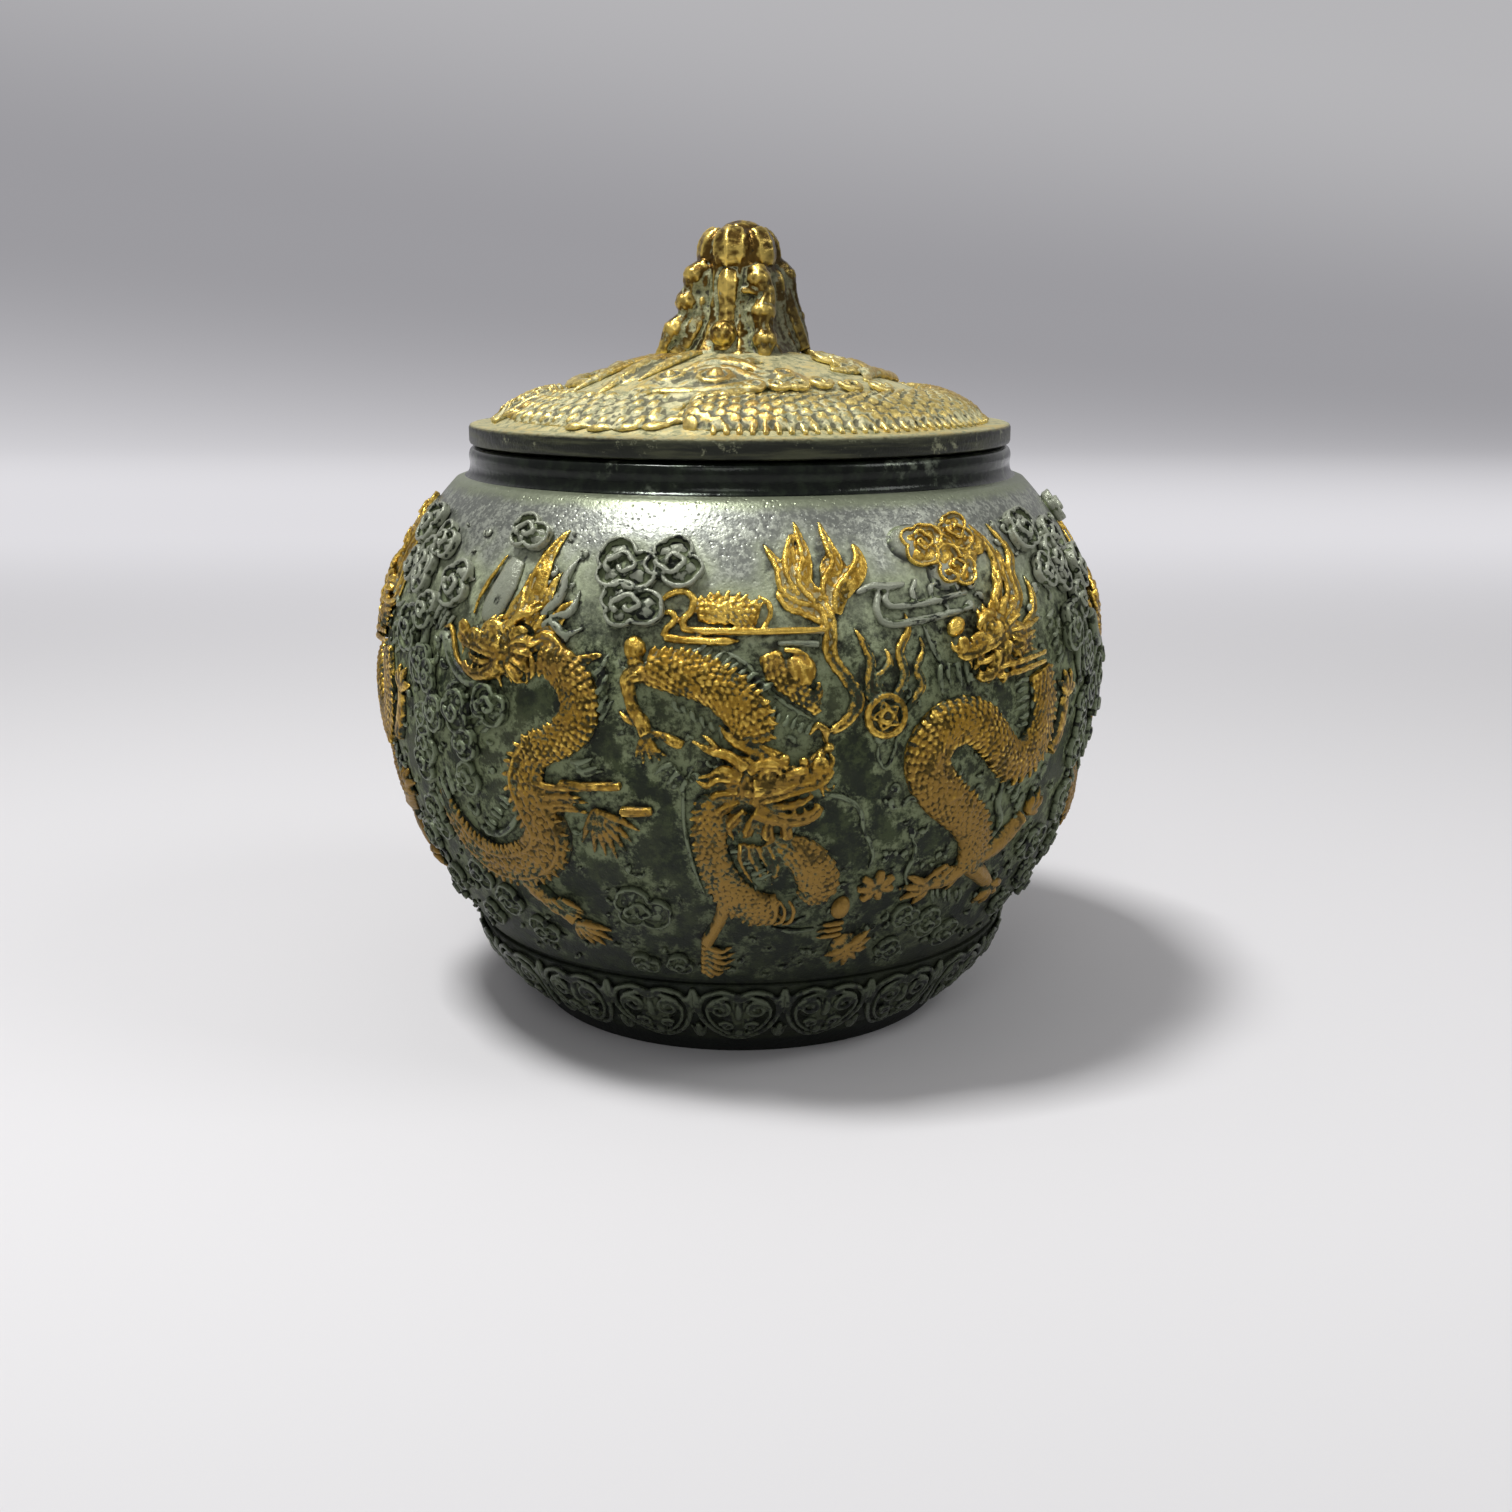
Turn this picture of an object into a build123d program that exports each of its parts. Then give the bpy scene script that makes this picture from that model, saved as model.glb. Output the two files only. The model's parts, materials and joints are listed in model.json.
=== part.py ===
from build123d import *
import os
from math import asin, cos, hypot, pi, radians, sin, sqrt

# A covered bronze jar with dragons in relief.
# The jar stands on its foot ring at z = 0, its axis is Z, and its front faces -Y.
# Lengths are millimetres and angles are degrees round the axis, counted from the front towards +X.

os.makedirs("parts", exist_ok=True)

# Jar body: a cast shell with a foot ring, a round belly and a plain mouth tube
foot_radius = 51.0
foot_flare = 2.0
foot_height = 5.0
foot_rim = 6.0
base_rise = 3.0
floor_thickness = 5.0
groove_radius = 66.5
groove_height = 23.5
groove_depth = 1.2
groove_width = 1.6
belly_radius = 87.0
belly_height = 86.0
shoulder_radius = 69.0
shoulder_height = 130.4
collar_seat_radius = 64.4
collar_seat_rise = 1.6
wall = 3.2
mouth_radius = 57.5
mouth_wall = 3.5

# Collar: the smooth round ring that hides the mouth tube
collar_bulge = 1.3
collar_lip = 1.9
collar_height = 6.5
collar_bulge_share = 0.42
seat_gap = 0.3

# Band of petals over the foot
petal_count = 20
petal_depth = 1.8
petal_gap = 0.9
petal_bed_bulge = 1.6
petal_tip_share = 0.04
petal_low_share = 0.22
petal_waist_share = 0.6
petal_side_share = 0.62
petal_top_share = 0.94

# Relief field: the part of the wall between the groove and the shoulder
field_bottom = 24.4
field_top = 128.0
relief_root = 1.0
relief_film = 0.05
ridge_edge_share = 0.33
ridge_crest_share = 0.5
body_girth = 8.0
body_depth = 3.4
limb_girth = 6.0
limb_depth = 2.6
flame_girth = 6.0
flame_depth = 2.2
claw_girth = 2.6
claw_depth = 1.8
cloud_depth = 2.2
cloud_rim = 1.1
cloud_dish = 0.9
cloud_lobe = 4.4
cloud_eye_share = 0.38
scroll_sides = 10
trail_girth = 5.0
pearl_radius = 4.0
pearl_rim = 1.0
pearl_boss = 1.3
pearl_depth = 2.4
pearl_sides = 14
pearl_angle = 20.5
pearl_place_share = 0.61
sector_count = 3

# Lid: a flat flange, a low dome and a locating ring that drops into the mouth
flange_radius = 65.5
flange_thickness = 4.8
flange_edge = 0.8
flange_margin = 5.0
dome_rise = 16.5
dome_crown_radius = 13.0
dome_camber = 1.6
lid_wall = 3.0
ring_clearance = 0.6
ring_wall = 2.6
ring_depth = 7.0

# Dragon that coils round the lid
coil_inner_radius = 44.0
coil_edge_gap = 1.2
coil_depth = 2.6
coil_shoulder_share = 0.55
coil_arc = 340.0
coil_start = -94.0
lid_head_girth = 13.0
lid_head_depth = 3.6
lid_mane_girth = 6.0
lid_mane_depth = 2.2
lid_scale_count = 13
lid_scale_girth = 4.6
lid_scale_arc = 11.0
lid_scale_crest_depth = 3.8
lid_scale_side_depth = 2.9

# Knob: a clawed foot that grips a ball
knob_base_radius = 12.5
knob_waist_radius = 7.6
knob_neck_radius = 8.6
knob_column_height = 20.0
knob_height = 30.8
knob_cap_radius = 10.6
knob_lobe_radius = 4.7
knob_lobe_count = 5
knob_flare_share = 0.44
knob_flare_rise_share = 0.3
knob_waist_share = 0.6
lobe_foot_share = 0.7
cap_drop = 0.8
cap_taper = 12.0
digit_spread = 11.0
digit_girth = 5.6
digit_depth = 3.6
digit_root = 4.5
knob_ball_radius = 3.5
knob_ball_reach = 12.5
knob_ball_angle = -17.0

overrun = 20.0


# Places on the wall of the jar


def arc_radius(inset, rise):
    """Radius of an arc that leaves the widest line upright and draws in by inset over rise."""
    return (inset**2 + rise**2) / (2 * inset)


lower_arc = arc_radius(belly_radius - groove_radius, belly_height - groove_height)
upper_arc = arc_radius(belly_radius - shoulder_radius, shoulder_height - belly_height)


def wall_arc(height):
    """The arc that the wall follows at a height: below the widest line it is the longer one."""
    return lower_arc if height < belly_height else upper_arc


def wall_radius(height):
    arc = wall_arc(height)
    return belly_radius - arc + sqrt(arc**2 - (height - belly_height) ** 2)


def wall_place(angle, share):
    """Point and outward direction on the wall, at a share of the relief field's height."""
    height = field_bottom + share * (field_top - field_bottom)
    reach = wall_radius(height)
    tilt = asin((height - belly_height) / wall_arc(height))
    across, away = sin(radians(angle)), -cos(radians(angle))
    point = Vector(reach * across, reach * away, height)
    return point, Vector(cos(tilt) * across, cos(tilt) * away, sin(tilt))


# Places on the dome of the lid

lid_height = shoulder_height + collar_seat_rise + collar_height
flange_top = lid_height + flange_thickness
dome_foot_radius = flange_radius - flange_margin
dome_slope_length = hypot(dome_foot_radius - dome_crown_radius, dome_rise)
dome_arc = (dome_slope_length**2 / 4 + dome_camber**2) / (2 * dome_camber)


def dome_height(reach):
    """Height of the dome at a distance from the axis: a straight slope plus its camber."""
    share = (dome_foot_radius - reach) / (dome_foot_radius - dome_crown_radius)
    return flange_top + dome_rise * share + 4 * dome_camber * share * (1 - share)


def dome_place(angle, share):
    """Point and outward direction on the dome, at a share of the way from its foot to its crown."""
    reach = dome_foot_radius + share * (dome_crown_radius - dome_foot_radius)
    slope = (dome_rise + 4 * dome_camber * (1 - 2 * share)) / (dome_foot_radius - dome_crown_radius)
    across, away = sin(radians(angle)), -cos(radians(angle))
    point = Vector(reach * across, reach * away, dome_height(reach))
    flat = 1 / hypot(1, slope)
    return point, Vector(slope * flat * across, slope * flat * away, flat)


# Shapes of the relief


def ridge(place, route, girth, depth, root=relief_root):
    """Cross sections of a rounded ridge that follows a route, for a ruled loft.

    Each row of the route is an angle, a share of the field and a share of the girth.
    """
    spots = [place(angle, share) for angle, share, _ in route]
    sections = []
    for number, (angle, share, size) in enumerate(route):
        point, outward = spots[number]
        behind = spots[max(number - 1, 0)][0]
        ahead = spots[min(number + 1, len(route) - 1)][0]
        along = (ahead - behind).normalized()
        side = outward.cross(along).normalized()
        half = girth * size / 2
        rise = depth * min(1, sqrt(size))
        with BuildSketch(Plane(origin=point, x_dir=side, z_dir=along)) as section:
            with BuildLine():
                Polyline(
                    (-half, -root),
                    (half, -root),
                    (half, rise * ridge_edge_share),
                    (half * ridge_crest_share, rise),
                    (-half * ridge_crest_share, rise),
                    (-half, rise * ridge_edge_share),
                    close=True,
                )
            make_face()
        sections.append(section.sketch)
    return sections


def spread(start, tips, size, tip_size):
    """Routes of claws or tongues that fan out from one place."""
    return [(start + (size,), tip + (tip_size,)) for tip in tips]


# Solids that cut the relief to its seat; the wall's stands proud by the film of solder under it

film_groove = (groove_radius + relief_film, groove_height)
film_belly = (belly_radius + relief_film, belly_height)
film_shoulder = (shoulder_radius + relief_film, shoulder_height)

with BuildPart() as wall_core:
    with BuildSketch(Plane.XZ):
        with BuildLine():
            Polyline(film_shoulder, (0, shoulder_height), (0, groove_height), film_groove)
            RadiusArc(film_groove, film_belly, -lower_arc)
            RadiusArc(film_belly, film_shoulder, -upper_arc)
        make_face()
    revolve(axis=Axis.Z)

with BuildPart() as dome_core:
    with BuildSketch(Plane.XZ):
        with BuildLine():
            Polyline(
                (dome_crown_radius, flange_top + dome_rise),
                (0, flange_top + dome_rise),
                (0, flange_top - flange_thickness),
                (flange_radius, flange_top - flange_thickness),
                (flange_radius, flange_top),
                (dome_foot_radius, flange_top),
            )
            RadiusArc(
                (dome_foot_radius, flange_top),
                (dome_crown_radius, flange_top + dome_rise),
                -dome_arc,
            )
        make_face()
    revolve(axis=Axis.Z)

# Jar body

mouth_top = lid_height
inner_belly = belly_radius - wall
inner_groove = groove_radius - wall
inner_shoulder = shoulder_radius - wall
inner_shoulder_height = shoulder_height - wall
collar_seat_height = shoulder_height + collar_seat_rise
petal_bed_top = groove_height - groove_width
petal_bed_radius = (foot_radius + foot_flare + groove_radius) / 2
petal_bed_height = (foot_height + petal_bed_top) / 2

with BuildPart() as jar_body:
    with BuildSketch(Plane.XZ):
        with BuildLine():
            Polyline(
                (0, base_rise),
                (foot_radius - foot_rim - base_rise, base_rise),
                (foot_radius - foot_rim, 0),
                (foot_radius, 0),
                (foot_radius + foot_flare, foot_height),
            )
            ThreePointArc(
                (foot_radius + foot_flare, foot_height),
                (petal_bed_radius + petal_bed_bulge, petal_bed_height - petal_bed_bulge),
                (groove_radius, petal_bed_top),
            )
            Polyline(
                (groove_radius, petal_bed_top),
                (groove_radius - groove_depth, groove_height - groove_width / 2),
                (groove_radius, groove_height),
            )
            RadiusArc((groove_radius, groove_height), (belly_radius, belly_height), -lower_arc)
            RadiusArc((belly_radius, belly_height), (shoulder_radius, shoulder_height), -upper_arc)
            Polyline(
                (shoulder_radius, shoulder_height),
                (collar_seat_radius, collar_seat_height),
                (mouth_radius + mouth_wall, collar_seat_height),
                (mouth_radius + mouth_wall, mouth_top),
                (mouth_radius, mouth_top),
                (mouth_radius, inner_shoulder_height),
                (inner_shoulder, inner_shoulder_height),
            )
            RadiusArc(
                (inner_shoulder, inner_shoulder_height),
                (inner_belly, belly_height),
                arc_radius(inner_belly - inner_shoulder, inner_shoulder_height - belly_height),
            )
            RadiusArc(
                (inner_belly, belly_height),
                (inner_groove, groove_height),
                arc_radius(inner_belly - inner_groove, belly_height - groove_height),
            )
            Polyline(
                (inner_groove, groove_height),
                (foot_radius, base_rise + floor_thickness),
                (0, base_rise + floor_thickness),
                (0, base_rise),
            )
        make_face()
    revolve(axis=Axis.Z)
jar_body.part.label = "jar_body"
export_step(jar_body.part, "parts/jar_body.step")

# Collar round the mouth tube

collar_top_radius = collar_seat_radius - collar_lip

with BuildPart() as collar:
    with BuildSketch(Plane.XZ):
        with BuildLine():
            ThreePointArc(
                (collar_seat_radius, collar_seat_height),
                (
                    collar_seat_radius + collar_bulge,
                    collar_seat_height + collar_height * collar_bulge_share,
                ),
                (collar_top_radius, lid_height - seat_gap),
            )
            Polyline(
                (collar_top_radius, lid_height - seat_gap),
                (mouth_radius + mouth_wall, lid_height - seat_gap),
                (mouth_radius + mouth_wall, collar_seat_height),
                (collar_seat_radius, collar_seat_height),
            )
        make_face()
    revolve(axis=Axis.Z)
collar.part.label = "collar"
export_step(collar.part, "parts/collar.step")

# Petals over the foot: one petal is cut to its bed and its thickness, then goes round

with BuildPart() as petal_skin:
    with BuildSketch(Plane.XZ):
        with BuildLine():
            ThreePointArc(
                (foot_radius + foot_flare, foot_height),
                (petal_bed_radius + petal_bed_bulge, petal_bed_height - petal_bed_bulge),
                (groove_radius, petal_bed_top),
            )
            Line((groove_radius, petal_bed_top), (groove_radius + petal_depth, petal_bed_top))
            ThreePointArc(
                (groove_radius + petal_depth, petal_bed_top),
                (
                    petal_bed_radius + petal_bed_bulge + petal_depth,
                    petal_bed_height - petal_bed_bulge,
                ),
                (foot_radius + foot_flare + petal_depth, foot_height),
            )
            Line(
                (foot_radius + foot_flare + petal_depth, foot_height),
                (foot_radius + foot_flare, foot_height),
            )
        make_face()
    revolve(axis=Axis.Z)

petal_half = pi * petal_bed_radius / petal_count - petal_gap / 2
petal_rise = petal_bed_top - foot_height
petal_plane = Plane(
    origin=(0, -petal_bed_radius, foot_height), x_dir=(1, 0, 0), z_dir=(0, -1, 0)
)
with BuildPart() as petal_form:
    with BuildSketch(petal_plane):
        with BuildLine():
            Polyline(
                (0, petal_rise * petal_tip_share),
                (petal_half * petal_waist_share, petal_rise * petal_low_share),
                (petal_half, petal_rise * petal_side_share),
                (petal_half * petal_waist_share, petal_rise * petal_top_share),
                (-petal_half * petal_waist_share, petal_rise * petal_top_share),
                (-petal_half, petal_rise * petal_side_share),
                (-petal_half * petal_waist_share, petal_rise * petal_low_share),
                close=True,
            )
        make_face()
    extrude(amount=overrun, both=True)
    add(petal_skin.part, mode=Mode.INTERSECT)

with BuildPart() as petal_band:
    with PolarLocations(0, petal_count):
        add(petal_form.part)
petal_band.part.label = "petal_band"
export_step(petal_band.part, "parts/petal_band.step")


# Dragons on the wall: three different ones side by side, and the three repeat round the jar


def dragon(strokes):
    """One dragon: every stroke is a route, a girth and a depth, and the wall cuts them all flat."""
    pieces = [
        loft(ridge(wall_place, route, girth, depth), ruled=True, mode=Mode.PRIVATE)
        for route, girth, depth in strokes
    ]
    with BuildPart() as form:
        add(pieces)
        add(wall_core.part, mode=Mode.SUBTRACT)
    return form.part


def repeat_round(form, name):
    """Write a copy of a form for each sector, turned into its place."""
    for sector in range(sector_count):
        with BuildPart() as copy:
            add(form.rotate(Axis.Z, 360 / sector_count * sector))
        copy.part.label = f"{name}_{sector + 1}"
        export_step(copy.part, f"parts/{name}_{sector + 1}.step")


# Rows: angle round the jar, share of the field's height, share of the girth

diving_body_shares = (
    ((-13, 0.72, 0.55), (-9, 0.71, 0.85), (-4.5, 0.685, 1.0), (0, 0.64, 1.0), (2.5, 0.59, 0.9)),
    ((0, 0.54, 1.0), (-3, 0.48, 1.1), (-4, 0.41, 1.05), (-3.5, 0.34, 1.0), (-2, 0.27, 0.95),
     (0.5, 0.22, 0.9), (3.5, 0.2, 0.9), (6.5, 0.22, 0.7)),
    ((4, 0.36, 0.6), (7.5, 0.345, 0.9), (10.5, 0.3, 1.0), (12, 0.24, 0.95), (11.5, 0.2, 0.6)),
    ((-6.5, 0.815, 0.6), (-3, 0.82, 0.85), (1, 0.82, 0.85), (4.5, 0.81, 0.5)),
    ((4, 0.76, 0.5), (5.5, 0.72, 0.8), (8, 0.67, 0.75), (10.5, 0.62, 0.35)),
    ((-1, 0.545, 0.9), (3, 0.54, 1.25), (7, 0.525, 1.0), (10, 0.505, 0.6)),
)
diving_limb_shares = (
    ((13.5, 0.84, 0.6), (14, 0.79, 0.6), (13.5, 0.74, 0.4)),
    ((-11, 0.71, 0.6), (-14.5, 0.695, 0.7), (-14, 0.65, 0.6), (-12.5, 0.6, 0.55), (-12, 0.56, 0.65)),
    ((13, 0.24, 0.6), (15.5, 0.21, 0.8), (16.5, 0.15, 0.6), (18.5, 0.09, 0.8)),
    ((-1.5, 0.22, 0.7), (-3.5, 0.16, 0.6), (-5.5, 0.11, 0.55), (-4, 0.06, 0.6)),
    ((4, 0.5, 0.9), (7.5, 0.465, 0.7), (10.5, 0.43, 0.5), (11.5, 0.45, 0.3)),
    ((8, 0.53, 0.8), (10.5, 0.555, 0.6), (11.5, 0.585, 0.35)),
    ((-9.5, 0.83, 0.4), (-8, 0.8, 0.35), (-9, 0.775, 0.4), (0, 0.765, 0.4), (12.5, 0.77, 0.35)),
)
diving_flame_shares = (
    ((12, 0.825, 0.6), (8, 0.85, 0.75), (5.5, 0.9, 0.55), (4.5, 0.945, 0.15)),
    ((12.5, 0.835, 0.6), (9.5, 0.87, 0.75), (8.5, 0.93, 0.55), (9, 0.985, 0.15)),
    ((13.5, 0.835, 0.6), (12.5, 0.89, 0.7), (13.5, 0.95, 0.5), (13, 0.995, 0.15)),
    ((13.5, 0.825, 0.6), (15.5, 0.87, 0.75), (18, 0.9, 0.6), (18.5, 0.95, 0.15)),
    ((12, 0.81, 0.5), (8.5, 0.83, 0.5), (5, 0.88, 0.12)),
    ((13.5, 0.74, 0.3), (15.5, 0.69, 0.25), (16, 0.64, 0.25), (14.5, 0.6, 0.2), (11.5, 0.575, 0.15)),
    ((2.5, 0.555, 0.4), (0, 0.58, 0.35), (-3, 0.61, 0.12)),
    ((4.5, 0.565, 0.4), (2.5, 0.59, 0.3), (0.5, 0.62, 0.12)),
)
diving_claw_shares = (
    spread((-12, 0.57), ((-14.5, 0.525), (-12.5, 0.51), (-10.5, 0.52), (-8, 0.55)), 1.0, 0.4)
    + spread((18.5, 0.1), ((15.5, 0.05), (18, 0.02), (21, 0.03), (22.5, 0.09)), 1.0, 0.4)
    + spread((-4.5, 0.08), ((-4, 0.02), (-2, 0.025), (0, 0.045), (1, 0.08)), 1.0, 0.4)
)

climbing_body_shares = (
    ((-27, 0.735, 0.8), (-23.5, 0.7, 0.95), (-21.5, 0.645, 1.0), (-23, 0.59, 1.0), (-27, 0.55, 1.0),
     (-30.5, 0.51, 1.1), (-31, 0.45, 1.2), (-29.5, 0.39, 1.3), (-30.5, 0.33, 1.3), (-34, 0.28, 1.3),
     (-39, 0.26, 1.2), (-44, 0.29, 0.95), (-47.5, 0.34, 0.6)),
    ((-26, 0.735, 0.9), (-31, 0.74, 1.3), (-36, 0.75, 1.05), (-40, 0.765, 0.6)),
)
climbing_limb_shares = (
    ((-32, 0.72, 0.9), (-35.5, 0.7, 0.7), (-38.5, 0.685, 0.4)),
    ((-29, 0.47, 0.8), (-25, 0.455, 0.8), (-21.5, 0.44, 0.7), (-20, 0.4, 0.8)),
    ((-24, 0.47, 0.35), (-20, 0.468, 0.35), (-16.5, 0.465, 0.35)),
    ((-35, 0.24, 0.8), (-32, 0.2, 0.8), (-29, 0.17, 0.7), (-27, 0.14, 0.7)),
)
climbing_flame_shares = (
    ((-32.5, 0.77, 0.8), (-31, 0.83, 0.85), (-30.5, 0.89, 0.6), (-29.5, 0.955, 0.15)),
    ((-30, 0.765, 0.6), (-27.5, 0.8, 0.5), (-27, 0.85, 0.15)),
    ((-29, 0.745, 0.7), (-25, 0.725, 0.7), (-22, 0.715, 0.5), (-20, 0.735, 0.15)),
    ((-39, 0.7, 0.4), (-42.5, 0.68, 0.45), (-45.5, 0.7, 0.4), (-48, 0.75, 0.15)),
)
climbing_claw_shares = (
    spread((-20, 0.4), ((-22.5, 0.335), (-20, 0.32), (-18, 0.33), (-16, 0.36)), 1.0, 0.4)
    + spread((-19.5, 0.42), ((-12.5, 0.42),), 0.9, 0.7)
    + spread((-27, 0.15), ((-26.5, 0.085), (-24.5, 0.085), (-23.5, 0.115)), 1.0, 0.4)
)

coiling_body_shares = (
    ((44, 0.72, 0.75), (46.5, 0.67, 0.8), (48, 0.6, 0.95), (47, 0.53, 1.0), (43, 0.485, 1.05),
     (39.5, 0.51, 1.0), (37.5, 0.57, 1.0), (33.5, 0.61, 1.1), (29, 0.605, 1.1), (26, 0.56, 1.1),
     (26, 0.5, 1.1), (29, 0.45, 1.1), (33.5, 0.41, 1.1), (37.5, 0.36, 1.0), (39, 0.3, 0.9),
     (38, 0.255, 0.65)),
    ((46, 0.74, 0.8), (41, 0.745, 1.35), (36.5, 0.755, 1.1), (32.5, 0.775, 0.6)),
)
coiling_limb_shares = (
    ((38.5, 0.71, 0.8), (35.5, 0.68, 0.7), (34, 0.655, 0.4)),
    ((37.5, 0.69, 0.35), (43, 0.685, 0.35), (48, 0.68, 0.35)),
    ((39, 0.28, 0.8), (43.5, 0.3, 0.8), (47, 0.35, 0.7), (50, 0.41, 0.6)),
    ((38, 0.27, 0.8), (34, 0.245, 0.7), (30.5, 0.25, 0.6)),
    ((41, 0.24, 0.6), (45, 0.2, 0.6), (48.5, 0.15, 0.55)),
)
coiling_flame_shares = (
    ((42, 0.77, 0.8), (43.5, 0.83, 0.8), (44.5, 0.89, 0.6), (43, 0.94, 0.15)),
    ((40, 0.78, 0.7), (39.5, 0.83, 0.55), (41, 0.87, 0.15)),
    ((45, 0.76, 0.7), (47.5, 0.81, 0.6), (48.5, 0.87, 0.15)),
)
coiling_claw_shares = (
    spread((30.5, 0.25), ((27.5, 0.28), (27, 0.25), (28, 0.22)), 1.0, 0.4)
    + spread((50, 0.41), ((52, 0.45), (53.5, 0.42), (53, 0.38)), 1.0, 0.4)
    + spread((48.5, 0.15), ((51.5, 0.15), (50.5, 0.11), (48, 0.09)), 1.0, 0.4)
)


def strokes(body, limbs, flames, claws):
    return (
        [(route, body_girth, body_depth) for route in body]
        + [(route, limb_girth, limb_depth) for route in limbs]
        + [(route, flame_girth, flame_depth) for route in flames]
        + [(route, claw_girth, claw_depth) for route in claws]
    )


repeat_round(
    dragon(strokes(diving_body_shares, diving_limb_shares, diving_flame_shares, diving_claw_shares)),
    "diving_dragon",
)
repeat_round(
    dragon(
        strokes(
            climbing_body_shares, climbing_limb_shares, climbing_flame_shares, climbing_claw_shares
        )
    ),
    "climbing_dragon",
)
repeat_round(
    dragon(
        strokes(coiling_body_shares, coiling_limb_shares, coiling_flame_shares, coiling_claw_shares)
    ),
    "coiling_dragon",
)


# Clouds and flaming pearls between the dragons


def scroll(place, angle, share, size):
    """A curled cloud head: a many-sided button with a raised rim and a raised eye."""
    point, outward = place(angle, share)
    level = Vector(0, 0, 1).cross(outward).normalized()
    seat = Plane(origin=point, x_dir=level, z_dir=outward)
    rim = cloud_lobe * size
    with BuildPart() as head:
        with BuildSketch(seat.offset(-relief_root)):
            RegularPolygon(rim, scroll_sides)
        extrude(amount=relief_root + cloud_depth)
        with BuildSketch(seat.offset(cloud_depth - cloud_dish)):
            RegularPolygon(rim - cloud_rim, scroll_sides)
            RegularPolygon(rim * cloud_eye_share, scroll_sides, mode=Mode.SUBTRACT)
        extrude(amount=cloud_dish, mode=Mode.SUBTRACT)
    return head.part


def cloud_bank(scrolls, trails):
    pieces = [scroll(wall_place, angle, share, size) for angle, share, size in scrolls]
    pieces += [
        loft(ridge(wall_place, route, trail_girth, cloud_depth), ruled=True, mode=Mode.PRIVATE)
        for route in trails
    ]
    with BuildPart() as bank:
        add(pieces)
        add(wall_core.part, mode=Mode.SUBTRACT)
    return bank.part


# Rows: angle round the jar, share of the field's height, share of the lobe

upper_scroll_shares = (
    (-17.5, 0.905, 1.0), (-11, 0.915, 0.95), (-16, 0.835, 0.8), (-36, 0.94, 0.95), (-48, 0.83, 1.0),
    (28.5, 0.925, 1.0), (34.5, 0.9, 0.9), (57, 0.93, 0.95), (62, 0.885, 0.8), (60, 0.73, 0.85),
)
upper_trail_shares = (
    ((-16, 0.83, 0.8), (-13, 0.825, 0.6), (-11.5, 0.835, 0.3)),
    ((-36, 0.91, 0.6), (-38.5, 0.86, 0.5), (-39.5, 0.82, 0.3)),
    ((20.5, 0.85, 0.4), (23.5, 0.82, 0.5), (28, 0.825, 0.5), (33.5, 0.835, 0.4)),
    ((-48, 0.8, 0.6), (-51, 0.76, 0.5), (-54, 0.75, 0.3)),
    ((60, 0.7, 0.6), (57.5, 0.66, 0.4), (57, 0.62, 0.3)),
)
lower_scroll_shares = (
    (-15, 0.18, 1.25), (-11, 0.055, 0.75), (31, 0.11, 0.95), (37, 0.14, 0.9), (-40, 0.12, 1.0),
    (-46, 0.15, 0.9), (24, 0.25, 0.65), (59, 0.3, 1.0), (65, 0.34, 0.8), (58, 0.12, 0.9),
)
lower_trail_shares = (
    ((-15, 0.14, 0.8), (-18, 0.1, 0.6), (-20.5, 0.09, 0.3)),
    ((24, 0.25, 0.6), (21.5, 0.235, 0.5), (20.5, 0.215, 0.3)),
    ((59, 0.26, 0.7), (61, 0.2, 0.5), (64, 0.18, 0.3)),
)

repeat_round(cloud_bank(upper_scroll_shares, upper_trail_shares), "upper_clouds")
repeat_round(cloud_bank(lower_scroll_shares, lower_trail_shares), "lower_clouds")

pearl_tongue_shares = (
    ((19.2, 0.65, 0.5), (17.8, 0.69, 0.45), (18.3, 0.74, 0.35), (17.5, 0.785, 0.12)),
    ((20.5, 0.66, 0.5), (20.3, 0.71, 0.4), (21, 0.76, 0.12)),
    ((22, 0.65, 0.5), (23.4, 0.7, 0.45), (23, 0.745, 0.35), (23.8, 0.8, 0.12)),
    ((23, 0.63, 0.4), (25.3, 0.67, 0.35), (25.8, 0.71, 0.3), (26.8, 0.76, 0.12)),
    ((20.5, 0.57, 0.5), (21.2, 0.53, 0.4), (20.2, 0.5, 0.15)),
)


def flaming_pearl():
    point, outward = wall_place(pearl_angle, pearl_place_share)
    level = Vector(0, 0, 1).cross(outward).normalized()
    seat = Plane(origin=point, x_dir=level, z_dir=outward)
    pieces = [
        loft(ridge(wall_place, route, flame_girth, flame_depth), ruled=True, mode=Mode.PRIVATE)
        for route in pearl_tongue_shares
    ]
    with BuildPart() as pearl:
        with BuildSketch(seat.offset(-relief_root)):
            RegularPolygon(pearl_radius, pearl_sides)
        extrude(amount=relief_root + pearl_depth)
        add(pieces)
        with BuildSketch(seat.offset(pearl_depth - cloud_dish)):
            RegularPolygon(pearl_radius - pearl_rim, pearl_sides)
            RegularPolygon(pearl_boss, pearl_sides, mode=Mode.SUBTRACT)
        extrude(amount=overrun, mode=Mode.SUBTRACT)
        add(wall_core.part, mode=Mode.SUBTRACT)
    return pearl.part


repeat_round(flaming_pearl(), "flaming_pearl")

# Lid: flange and dome in one shell, with the ring that centres it in the mouth

ring_radius = mouth_radius - ring_clearance
dome_hollow_radius = ring_radius - ring_wall
dome_hollow_height = dome_height(dome_hollow_radius) - lid_wall

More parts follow.
